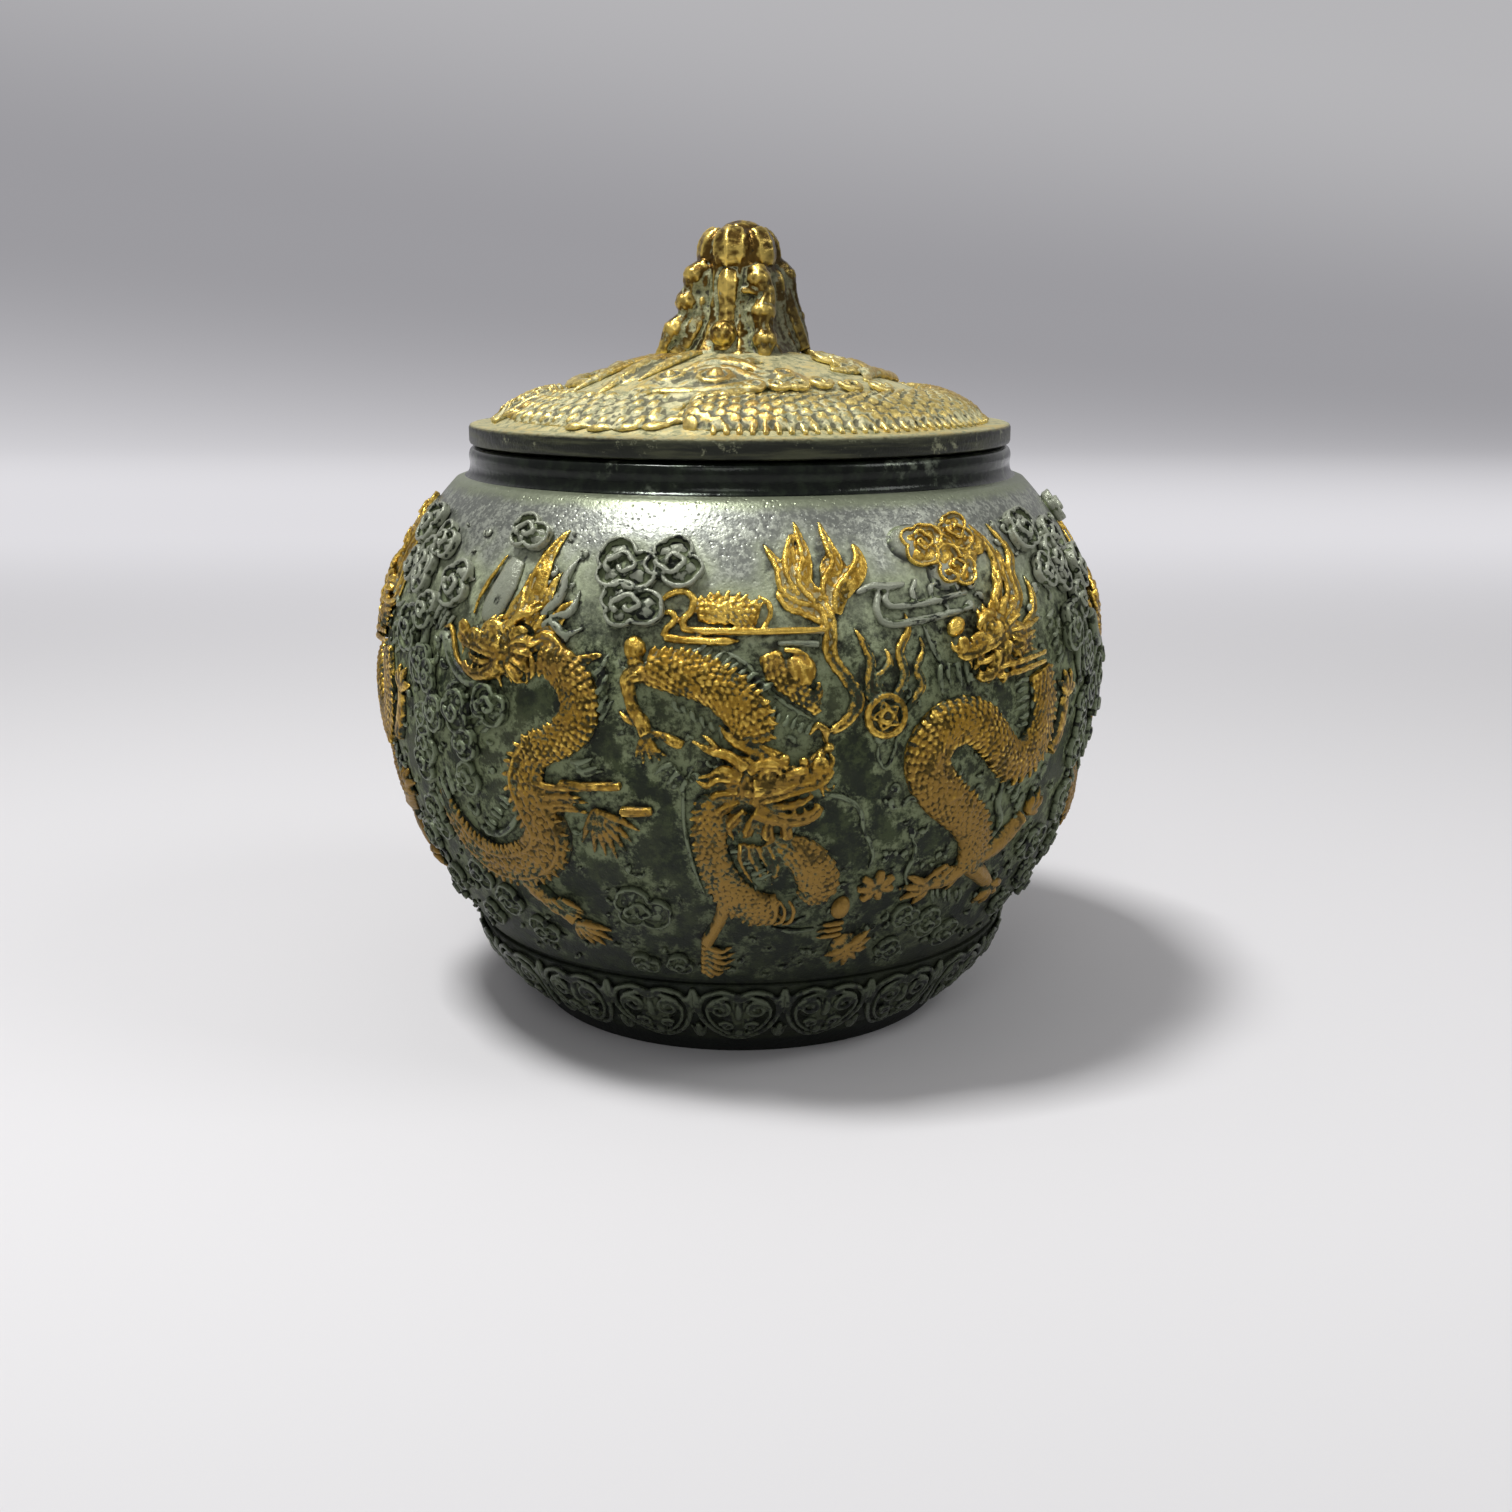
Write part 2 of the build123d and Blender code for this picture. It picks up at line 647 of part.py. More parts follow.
with BuildPart() as lid_shell:
    with BuildSketch(Plane.XZ):
        with BuildLine():
            Polyline(
                (dome_hollow_radius, dome_hollow_height),
                (dome_hollow_radius, lid_height),
                (flange_radius - flange_edge, lid_height),
                (flange_radius, lid_height + flange_edge),
                (flange_radius, flange_top - flange_edge),
                (flange_radius - flange_edge, flange_top),
                (dome_foot_radius, flange_top),
            )
            RadiusArc(
                (dome_foot_radius, flange_top),
                (dome_crown_radius, flange_top + dome_rise),
                -dome_arc,
            )
            Polyline(
                (dome_crown_radius, flange_top + dome_rise),
                (0, flange_top + dome_rise),
                (0, flange_top + dome_rise - lid_wall),
                (dome_crown_radius, flange_top + dome_rise - lid_wall),
                (dome_hollow_radius, dome_hollow_height),
            )
        make_face()
    revolve(axis=Axis.Z)
lid_shell.part.label = "lid_shell"
export_step(lid_shell.part, "parts/lid_shell.step")

with BuildPart() as locating_ring:
    with BuildSketch(Plane.XY.offset(lid_height - ring_depth)):
        Circle(ring_radius)
        Circle(dome_hollow_radius, mode=Mode.SUBTRACT)
    extrude(amount=ring_depth)
    chamfer(locating_ring.faces().sort_by(Axis.Z)[0].outer_wire().edges(), ring_clearance)
locating_ring.part.label = "locating_ring"
export_step(locating_ring.part, "parts/locating_ring.step")

# Dragon on the lid: its body runs round the foot of the dome and its head lies across the front

coil_outer_radius = dome_foot_radius - coil_edge_gap
coil_crest_radius = coil_inner_radius + (coil_outer_radius - coil_inner_radius) * coil_shoulder_share

# Rows: angle round the lid, share of the way from the dome's foot to its crown, share of the girth

lid_head_shares = (
    ((14, 0.5, 0.5), (6, 0.48, 0.95), (-3, 0.47, 1.0), (-11, 0.455, 0.8), (-18, 0.44, 0.6),
     (-25, 0.42, 0.45)),
)
lid_mane_shares = (
    ((12, 0.5, 0.9), (20, 0.53, 0.9), (28, 0.56, 0.7), (37, 0.55, 0.2)),
    ((12, 0.6, 0.8), (22, 0.68, 0.9), (33, 0.74, 0.8), (45, 0.7, 0.6), (50, 0.62, 0.2)),
    ((-6, 0.62, 0.7), (-20, 0.68, 0.7), (-35, 0.72, 0.5), (-47, 0.68, 0.15)),
    ((55, 0.5, 0.7), (70, 0.58, 0.9), (88, 0.6, 0.8), (105, 0.52, 0.3)),
    ((120, 0.55, 0.6), (140, 0.62, 0.9), (160, 0.6, 0.8), (178, 0.5, 0.3)),
    ((195, 0.55, 0.6), (215, 0.62, 0.9), (235, 0.6, 0.8), (252, 0.5, 0.3)),
    ((268, 0.55, 0.6), (282, 0.62, 0.9), (298, 0.6, 0.8), (312, 0.5, 0.3)),
)
lid_tail_shares = (
    ((-27, 0.1, 1.0), (-20, 0.12, 0.8), (-13, 0.1, 0.5), (-7, 0.08, 0.2)),
    ((-27, 0.22, 1.0), (-21, 0.25, 0.7), (-15, 0.22, 0.4), (-10, 0.23, 0.15)),
)


# The coil's scales stand in three rows; each rises from the coil to its free end

lid_scale_pitch = coil_arc / lid_scale_count
lid_scale_rows = (
    (0.26, 0.1, lid_scale_side_depth),
    (0.17, 0.6, lid_scale_crest_depth),
    (0.086, 0.1, lid_scale_side_depth),
)


def scale_route(share, start_share, number):
    """Route of one scale: it starts narrow and low and ends wide and high."""
    start = coil_start + 90 + (number + start_share) * lid_scale_pitch
    return [(start, share, 0.5), (start + lid_scale_arc, share, 1.0)]


with BuildPart() as lid_dragon:
    with BuildSketch(Plane.XZ.rotated((0, 0, coil_start))):
        with BuildLine():
            Polyline(
                (coil_outer_radius, dome_height(coil_outer_radius) - relief_root),
                (coil_outer_radius, dome_height(coil_outer_radius) + coil_depth * ridge_edge_share),
                (coil_crest_radius, dome_height(coil_crest_radius) + coil_depth),
                (coil_inner_radius, dome_height(coil_inner_radius) + coil_depth * ridge_edge_share),
                (coil_inner_radius, dome_height(coil_inner_radius) - relief_root),
                close=True,
            )
        make_face()
    revolve(axis=Axis.Z, revolution_arc=coil_arc)
    add(
        [
            loft(ridge(dome_place, route, lid_head_girth, lid_head_depth), ruled=True, mode=Mode.PRIVATE)
            for route in lid_head_shares
        ]
        + [
            loft(ridge(dome_place, route, lid_mane_girth, lid_mane_depth), ruled=True, mode=Mode.PRIVATE)
            for route in lid_mane_shares + lid_tail_shares
        ]
        + [
            loft(
                ridge(dome_place, scale_route(share, start_share, number), lid_scale_girth, depth),
                ruled=True,
                mode=Mode.PRIVATE,
            )
            for share, start_share, depth in lid_scale_rows
            for number in range(lid_scale_count)
            if (number + start_share) * lid_scale_pitch + lid_scale_arc < coil_arc
        ]
    )
    add(dome_core.part, mode=Mode.SUBTRACT)
lid_dragon.part.label = "lid_dragon"
export_step(lid_dragon.part, "parts/lid_dragon.step")


# Knob: a waisted column under a lobed cap

crown_height = flange_top + dome_rise
cap_height = crown_height + knob_column_height
knob_top = crown_height + knob_height
cap_rise = knob_top - cap_height

with BuildPart() as cap_lobe:
    with BuildSketch(Plane.XZ):
        with BuildLine():
            Polyline(
                (0, cap_height),
                (knob_lobe_radius * lobe_foot_share, cap_height),
                (knob_lobe_radius, cap_height + knob_lobe_radius * lobe_foot_share / 2),
                (knob_lobe_radius, knob_top - knob_lobe_radius - cap_drop),
            )
            RadiusArc(
                (knob_lobe_radius, knob_top - knob_lobe_radius - cap_drop),
                (0, knob_top - cap_drop),
                -knob_lobe_radius,
            )
            Line((0, knob_top - cap_drop), (0, cap_height))
        make_face()
    revolve(axis=Axis.Z)

with BuildPart() as knob_core:
    with BuildSketch(Plane.XZ):
        with BuildLine():
            Line((0, crown_height), (knob_base_radius, crown_height))
            Spline(
                (knob_base_radius, crown_height),
                (
                    knob_waist_radius + (knob_base_radius - knob_waist_radius) * knob_flare_share,
                    crown_height + knob_column_height * knob_flare_rise_share,
                ),
                (knob_waist_radius, crown_height + knob_column_height * knob_waist_share),
                (knob_neck_radius, cap_height),
            )
            Polyline((knob_neck_radius, cap_height), (0, cap_height), (0, crown_height))
        make_face()
    revolve(axis=Axis.Z)
    with PolarLocations(knob_cap_radius - knob_lobe_radius, knob_lobe_count):
        add(cap_lobe.part)
    with BuildSketch(Plane.XY.offset(cap_height)):
        Circle(knob_cap_radius - knob_lobe_radius)
    extrude(amount=cap_rise, taper=cap_taper)
knob_core.part.label = "knob_core"
export_step(knob_core.part, "parts/knob_core.step")

digit_foot_radius = knob_waist_radius + digit_spread


def digit_place(angle, share):
    """Point on the line of a digit, from the dome at share 0 to the cap at share 1."""
    reach = knob_waist_radius + digit_spread * (1 - share) ** 2
    low = dome_height(digit_foot_radius)
    across, away = sin(radians(angle)), -cos(radians(angle))
    point = Vector(reach * across, reach * away, low + share * (cap_height - low))
    lean = 2 * digit_spread * (1 - share) / (cap_height - low)
    flat = 1 / hypot(1, lean)
    return point, Vector(flat * across, flat * away, flat * lean)


# Rows: angle round the knob, share of the way up, share of the girth

digit_angles = (-86, 22, 128, 205)
digit_shares = (
    (0.0, 0.25), (0.08, 0.6), (0.2, 0.85), (0.25, 1.05), (0.32, 0.75), (0.5, 0.8), (0.56, 1.1),
    (0.64, 0.8), (0.8, 0.85), (0.88, 1.1), (1.0, 0.8),
)

with BuildPart() as knob_digits:
    add(
        [
            loft(
                ridge(
                    digit_place,
                    [(angle, share, size) for share, size in digit_shares],
                    digit_girth,
                    digit_depth,
                    digit_root,
                ),
                ruled=True,
                mode=Mode.PRIVATE,
            )
            for angle in digit_angles
        ]
    )
    add(knob_core.part, mode=Mode.SUBTRACT)
    add(dome_core.part, mode=Mode.SUBTRACT)
knob_digits.part.label = "knob_digits"
export_step(knob_digits.part, "parts/knob_digits.step")

with BuildPart() as knob_ball:
    with Locations(
        (
            knob_ball_reach * sin(radians(knob_ball_angle)),
            -knob_ball_reach * cos(radians(knob_ball_angle)),
            dome_height(knob_ball_reach + knob_ball_radius) + knob_ball_radius,
        )
    ):
        Sphere(knob_ball_radius)
    add(knob_core.part, mode=Mode.SUBTRACT)
    add(dome_core.part, mode=Mode.SUBTRACT)
knob_ball.part.label = "knob_ball"
export_step(knob_ball.part, "parts/knob_ball.step")
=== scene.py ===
import json
from math import ceil, cos, hypot, pi, radians, sin, sqrt

import bmesh
import bpy
import numpy as np
from mathutils import Matrix, Vector, noise
from mathutils.kdtree import KDTree

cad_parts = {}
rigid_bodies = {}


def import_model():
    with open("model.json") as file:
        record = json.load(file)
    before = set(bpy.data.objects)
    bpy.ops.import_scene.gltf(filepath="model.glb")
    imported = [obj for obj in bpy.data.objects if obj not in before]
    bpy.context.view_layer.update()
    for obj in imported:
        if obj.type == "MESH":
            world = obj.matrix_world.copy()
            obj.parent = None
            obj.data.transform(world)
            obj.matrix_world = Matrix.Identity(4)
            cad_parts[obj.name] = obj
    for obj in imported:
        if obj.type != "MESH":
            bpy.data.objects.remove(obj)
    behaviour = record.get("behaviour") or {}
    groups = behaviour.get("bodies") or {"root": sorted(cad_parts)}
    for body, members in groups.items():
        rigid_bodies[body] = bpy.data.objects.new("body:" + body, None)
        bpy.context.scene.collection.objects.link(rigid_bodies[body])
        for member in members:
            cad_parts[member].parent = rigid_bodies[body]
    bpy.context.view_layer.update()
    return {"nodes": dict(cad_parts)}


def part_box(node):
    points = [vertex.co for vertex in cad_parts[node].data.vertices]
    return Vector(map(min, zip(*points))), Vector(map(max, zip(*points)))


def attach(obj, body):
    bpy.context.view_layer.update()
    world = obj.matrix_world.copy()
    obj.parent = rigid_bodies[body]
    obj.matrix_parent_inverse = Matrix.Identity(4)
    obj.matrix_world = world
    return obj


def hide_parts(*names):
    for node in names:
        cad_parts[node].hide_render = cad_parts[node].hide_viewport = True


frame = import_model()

# %% [markdown]
# # A covered bronze jar with dragons in relief
#
# The jar is a cast shell with ornament that was modelled in wax before the casting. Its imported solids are
# loaded above as a fixed frame, in metres, and every piece made here sits where its solid sits. Sizes in
# this script are millimetres, as a founder would give them, and one factor turns them into metres. The
# wall's ornament is made for a third of the jar and then set round it three times.

# %% Units and the sizes that the frame gives
MM = 0.001
SECTORS = 3

_, body_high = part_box("jar_body")
_, lid_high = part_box("lid_shell")
belly_radius = round(body_high.x / MM, 2)
flange_radius = round(lid_high.x / MM, 2)
mouth_height = round(body_high.z / MM, 2)
print("belly radius", belly_radius, "flange radius", flange_radius, "mouth height", mouth_height)

# %% [markdown]
# ## Camera
#
# The lens, the place and the tilt were found by fitting the circles of the lid, the neck and the groove
# over the foot to what the photograph shows of them. The camera looks down a little, from the front.

# %% Camera
camera_place = (3.9, -446.38, 167.25)
camera_tilt = 76.38
camera_lens = 42.857
camera_sensor = 36.0

camera_data = bpy.data.cameras.new("camera")
camera_data.lens = camera_lens
camera_data.sensor_width = camera_sensor
camera_data.clip_start = 0.01
camera_data.clip_end = 20.0
camera = bpy.data.objects.new("camera", camera_data)
camera.location = Vector(camera_place) * MM
camera.rotation_euler = (radians(camera_tilt), 0.0, 0.0)
bpy.context.scene.collection.objects.link(camera)
bpy.context.scene.camera = camera
print("camera", tuple(round(v, 4) for v in camera.location))

# %% [markdown]
# ## The wall as a sheet of wax
#
# The ornament is easiest to shape lying flat, so each motif is built on a flat sheet and then wrapped
# round the jar. The sheet's x runs round the jar and its y runs up the wall. Its y is stretched so that
# a round button on the sheet is still round on the wall. The third number is the lift over the wall.

# %% The profile of the wall
belly_height = 86.0
groove_radius, groove_height = 66.5, 23.5
shoulder_radius, shoulder_height = 69.0, 130.4


def arc_radius(inset, rise):
    """Radius of an arc that starts upright and draws in by inset over rise."""
    return (inset**2 + rise**2) / (2 * inset)


lower_arc = arc_radius(belly_radius - groove_radius, belly_height - groove_height)
upper_arc = arc_radius(belly_radius - shoulder_radius, shoulder_height - belly_height)


def wall_radius(height):
    arc = np.where(height < belly_height, lower_arc, upper_arc)
    return belly_radius - arc + np.sqrt(arc**2 - (height - belly_height) ** 2)


# %% A flat sheet that wraps round a profile


class Sheet:
    """A flat sheet over a turned surface, given by the surface's radius at rising heights."""

    def __init__(self, heights, radii, width_radius):
        self.heights = heights
        self.radii = radii
        self.width_radius = width_radius
        lean = np.gradient(radii, heights)
        length = np.sqrt(1 + lean**2)
        self.outward = 1 / length
        self.upward = -lean / length
        stretch = width_radius / radii * length
        steps = np.diff(heights) * (stretch[1:] + stretch[:-1]) / 2
        self.rises = np.concatenate([[0.0], np.cumsum(steps)])

    def place(self, angle, height, lift=0.0):
        """A place on the sheet, from degrees round the jar and height over the table."""
        rise = np.interp(height, self.heights, self.rises)
        return np.array([radians(angle) * self.width_radius, rise, lift])

    def wrap(self, points):
        """Points of the sheet in millimetres, wrapped round the surface, in metres."""
        angle = points[:, 0] / self.width_radius
        height = np.interp(points[:, 1], self.rises, self.heights)
        reach = np.interp(height, self.heights, self.radii)
        reach = reach + points[:, 2] * np.interp(height, self.heights, self.outward)
        upright = height + points[:, 2] * np.interp(height, self.heights, self.upward)
        return np.stack([reach * np.sin(angle), -reach * np.cos(angle), upright], axis=1) * MM


wall_heights = np.linspace(groove_height, shoulder_height, 300)
wall_sheet = Sheet(wall_heights, wall_radius(wall_heights), belly_radius)
print("the wall's sheet is", round(float(wall_sheet.rises[-1]), 1), "mm high")

# %% [markdown]
# ## Wax ropes and lumps
#
# A modeller builds such relief from rolled ropes and pressed lumps of wax and then blends them. The same
# is done here: a rope is a curve with a radius at every point, a lump is a squashed ball, and a voxel
# remesh melts all that touches into one skin. Smooth rolls and soft joints come for free that way.

# %% A smooth line through a few stations
THINNEST = 0.06


def smooth_line(stations, step=0.7):
    """Points at most a step apart on a smooth line through the stations."""
    rows = np.array(stations, float)
    ends = np.vstack([2 * rows[0] - rows[1], rows, 2 * rows[-1] - rows[-2]])
    line = []
    for before, start, end, after in zip(ends, ends[1:], ends[2:], ends[3:]):
        count = max(2, ceil(np.linalg.norm((end - start)[:3]) / step))
        for share in np.arange(count) / count:
            bend = 2 * before - 5 * start + 4 * end - after
            swing = 3 * start - before - 3 * end + after
            line.append(start + ((end - before) * share + bend * share**2 + swing * share**3) / 2)
    line.append(rows[-1])
    line = np.array(line)
    line[:, 3] = np.maximum(line[:, 3], THINNEST)
    return line


# %% A skin with no more triangles than it needs


def thinned(skin, most):
    """The skin with its flat parts thinned until it has at most so many triangles."""
    count = 2 * len(skin.polygons)
    if count <= most:
        return skin
    holder = bpy.data.objects.new("skin", skin)
    bpy.context.scene.collection.objects.link(holder)
    fewer = holder.modifiers.new("fewer", "DECIMATE")
    fewer.ratio = most / count
    graph = bpy.context.evaluated_depsgraph_get()
    thin = bpy.data.meshes.new_from_object(holder.evaluated_get(graph))
    bpy.data.objects.remove(holder)
    bpy.data.meshes.remove(skin)
    return thin


# %% The points of a mesh as rows of numbers


def read_points(mesh, kind="co"):
    """The places of a mesh's points, or their normals, as rows of x, y and z."""
    values = np.zeros(len(mesh.vertices) * 3)
    mesh.vertices.foreach_get(kind, values)
    return values.reshape(-1, 3)


def write_points(mesh, points):
    mesh.vertices.foreach_set("co", points.astype(np.float32).ravel())
    mesh.update()


# %% The slight unevenness of a casting
CAST_DEPTH, CAST_PATCH = 0.16, 1.3


def roughened(skin):
    """The skin with each point moved a little in or out, as wax and metal leave it."""
    points = read_points(skin)
    normals = read_points(skin, "normal")
    spots = [Vector(point) / CAST_PATCH for point in points]
    moves = [noise.noise(spot) + 0.5 * noise.noise(spot * 2.3) for spot in spots]
    write_points(skin, points + normals * np.array(moves)[:, None] * CAST_DEPTH)
    return skin


# %% The wax that a motif is built from
ROOT = -0.7
FULL_TRAY = 3000


class Wax:
    """Ropes and lumps for one motif, in millimetres; nothing reaches below the root."""

    def __init__(self, sheet, root=ROOT):
        self.place = sheet.place
        self.wrap = sheet.wrap
        self.root = root
        self.ropes = {}
        self.trays = [bmesh.new()]

    def rope(self, line, flatness=1.0):
        """A round or flattened rope along rows of x, y, lift and radius."""
        if flatness not in self.ropes:
            curve = bpy.data.curves.new("rope", "CURVE")
            curve.dimensions = "3D"
            curve.bevel_depth = 1.0
            curve.bevel_resolution = 2
            curve.use_fill_caps = True
            self.ropes[flatness] = curve
        spline = self.ropes[flatness].splines.new("POLY")
        spline.points.add(len(line) - 1)
        for point, (x, y, lift, radius) in zip(spline.points, line):
            point.co = (x, y, lift / flatness, 1.0)
            point.radius = radius

    def cord(self, rows, step, flatness=1.0):
        """A rope on a smooth line through rows of x, y, lift and radius."""
        self.rope(smooth_line(rows, step), flatness)

    def stroke(self, stations, girth, lift, flatness=1.0):
        """A rope through stations of angle, height and share of its girth; lift is in half girths."""
        rows = []
        for angle, height, size in stations:
            radius = girth * size / 2
            rows.append([*self.place(angle, height, lift * radius * flatness), radius])
        line = smooth_line(rows)
        self.rope(line, flatness)
        return line

    def ball(self, shape, fineness):
        """Add a ball in the given shape; a full tray is set aside, since a small one fills faster."""
        if len(self.trays[-1].verts) > FULL_TRAY:
            self.trays.append(bmesh.new())
        bmesh.ops.create_icosphere(self.trays[-1], subdivisions=fineness, radius=1.0, matrix=shape)

    def lump(self, centre, sizes, turn=0.0):
        """A squashed ball at x, y and lift, turned in the sheet."""
        turned = Matrix.Rotation(radians(turn), 4, "Z")
        self.ball(Matrix.Translation(Vector(centre)) @ turned @ Matrix.Diagonal((*sizes, 1.0)), 2)

    def dab(self, place, lift, sizes, turn=0.0):
        """A lump at an angle and a height, as the strokes give them."""
        x, y, _ = self.place(*place)
        self.lump((x, y, lift), sizes, turn)

    def melt(self, voxel, most, smoothing):
        """The ropes and lumps as one skin of at most so many triangles, still flat."""
        whole = bmesh.new()
        for flatness, curve in self.ropes.items():
            holder = bpy.data.objects.new("rope", curve)
            rolled = bpy.data.meshes.new_from_object(holder)
            rolled.transform(Matrix.Diagonal((1.0, 1.0, flatness, 1.0)))
            whole.from_mesh(rolled)
            bpy.data.objects.remove(holder)
            bpy.data.curves.remove(curve)
            bpy.data.meshes.remove(rolled)
        for tray in self.trays:
            lumps = bpy.data.meshes.new("lumps")
            tray.to_mesh(lumps)
            whole.from_mesh(lumps)
            bpy.data.meshes.remove(lumps)
            tray.free()
        for vert in whole.verts:
            vert.co.z = max(vert.co.z, self.root)
        mesh = bpy.data.meshes.new("wax")
        whole.to_mesh(mesh)
        whole.free()
        holder = bpy.data.objects.new("wax", mesh)
        bpy.context.scene.collection.objects.link(holder)
        melted = holder.modifiers.new("melt", "REMESH")
        melted.mode = "VOXEL"
        melted.voxel_size = voxel
        softened = holder.modifiers.new("soften", "SMOOTH")
        softened.factor = 0.5
        softened.iterations = smoothing
        graph = bpy.context.evaluated_depsgraph_get()
        skin = bpy.data.meshes.new_from_object(holder.evaluated_get(graph))
        bpy.data.objects.remove(holder)
        bpy.data.meshes.remove(mesh)
        return roughened(thinned(skin, most))

# %% [markdown]
# ## From wax to metal
#
# Rubbing gilds the crests and leaves the hollows bare of gilt, and the finishes paint the hollows dark as shade
# and the crests bright as highlights, so every skin keeps three measures for its finish: how far it stands off
# the wall, how sharp its crests are and how broad its swellings are. They are stored on the mesh, so the
# finish follows the shape and stays with it.

# %% Measures of a skin for its finish
FINE_ROUNDS, BROAD_ROUNDS = 4, 30


def relaxed(values, edges, rounds):
    """The values of each vertex averaged with its neighbours' a number of times."""
    size = len(values)
    first, second = edges[:, 0], edges[:, 1]
    count = np.maximum(np.bincount(edges.ravel(), minlength=size), 1)[:, None]
    for _ in range(rounds):
        total = [
            np.bincount(first, values[second, k], size) + np.bincount(second, values[first, k], size)
            for k in range(values.shape[1])
        ]
        values = (values + np.stack(total, axis=1) / count) / 2
    return values


def store(mesh, name, values):
    """Keep one number for each point of a mesh, under a name that a material can read."""
    attribute = mesh.attributes.new(name, "FLOAT", "POINT")
    attribute.data.foreach_set("value", values.astype(np.float32))


def measure_skin(mesh):
    """Store lift, crest and swell, in millimetres, for a skin that is still flat."""
    points = read_points(mesh)
    normals = read_points(mesh, "normal")
    edges = np.zeros(len(mesh.edges) * 2, int)
    mesh.edges.foreach_get("vertices", edges)
    edges = edges.reshape(-1, 2)
    fine = relaxed(points, edges, FINE_ROUNDS)
    broad = relaxed(fine, edges, BROAD_ROUNDS)
    store(mesh, "lift", points[:, 2])
    store(mesh, "crest", ((points - fine) * normals).sum(axis=1))
    store(mesh, "swell", ((fine - broad) * normals).sum(axis=1))


# %% Casting a piece


def new_piece(name, mesh, body, material, nodes):
    """A finished piece that rides on a body and stands for solids of the frame."""
    mesh.name = name
    mesh.polygons.foreach_set("use_smooth", [True] * len(mesh.polygons))
    mesh.materials.clear()
    mesh.materials.append(material)
    piece = bpy.data.objects.new(name, mesh)
    bpy.context.scene.collection.objects.link(piece)
    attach(piece, body)
    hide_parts(*nodes)
    print(name, sum(len(face.vertices) - 2 for face in mesh.polygons), "triangles")


WIDEST = 0.0879
SEAM_ANGLE, SEAM_WIDTH = 60, 12.0


def drawn_in(points):
    """Soften the relief that would stand out past the jar's depth where two sectors meet at the back."""
    radius = np.hypot(points[:, 0], points[:, 1])
    angle = np.degrees(np.arctan2(points[:, 0], -points[:, 1]))
    near = np.clip(1.7 - np.abs(np.abs(angle) - SEAM_ANGLE) / SEAM_WIDTH, 0, 1)
    share = 1 - 0.62 * near * np.maximum(radius - WIDEST, 0) / np.maximum(radius, 1e-6)
    return points * np.stack([share, share, np.ones(len(share))], axis=1)


def cast_skin(wax, voxel, most, smoothing=2):
    """Melt a motif at a voxel size in millimetres, measure it while it is flat, and wrap it."""
    skin = wax.melt(voxel, most, smoothing)
    measure_skin(skin)
    write_points(skin, drawn_in(wax.wrap(read_points(skin))))
    return skin


def turned_copy(mesh, number, count):
    """A copy of a mesh, turned by a number of steps out of a full circle."""
    copy = mesh.copy()
    copy.transform(Matrix.Rotation(2 * pi / count * number, 4, "Z"))
    return copy


def cast_round(wax, motif, material, voxel, most):
    """Cast a motif of the wall once for each sector of the jar."""
    skin = cast_skin(wax, voxel, most)
    for sector in range(SECTORS):
        mesh = turned_copy(skin, sector, SECTORS)
        new_piece(f"{motif}_cast_{sector + 1}", mesh, "jar", material, [f"{motif}_{sector + 1}"])
    bpy.data.meshes.remove(skin)
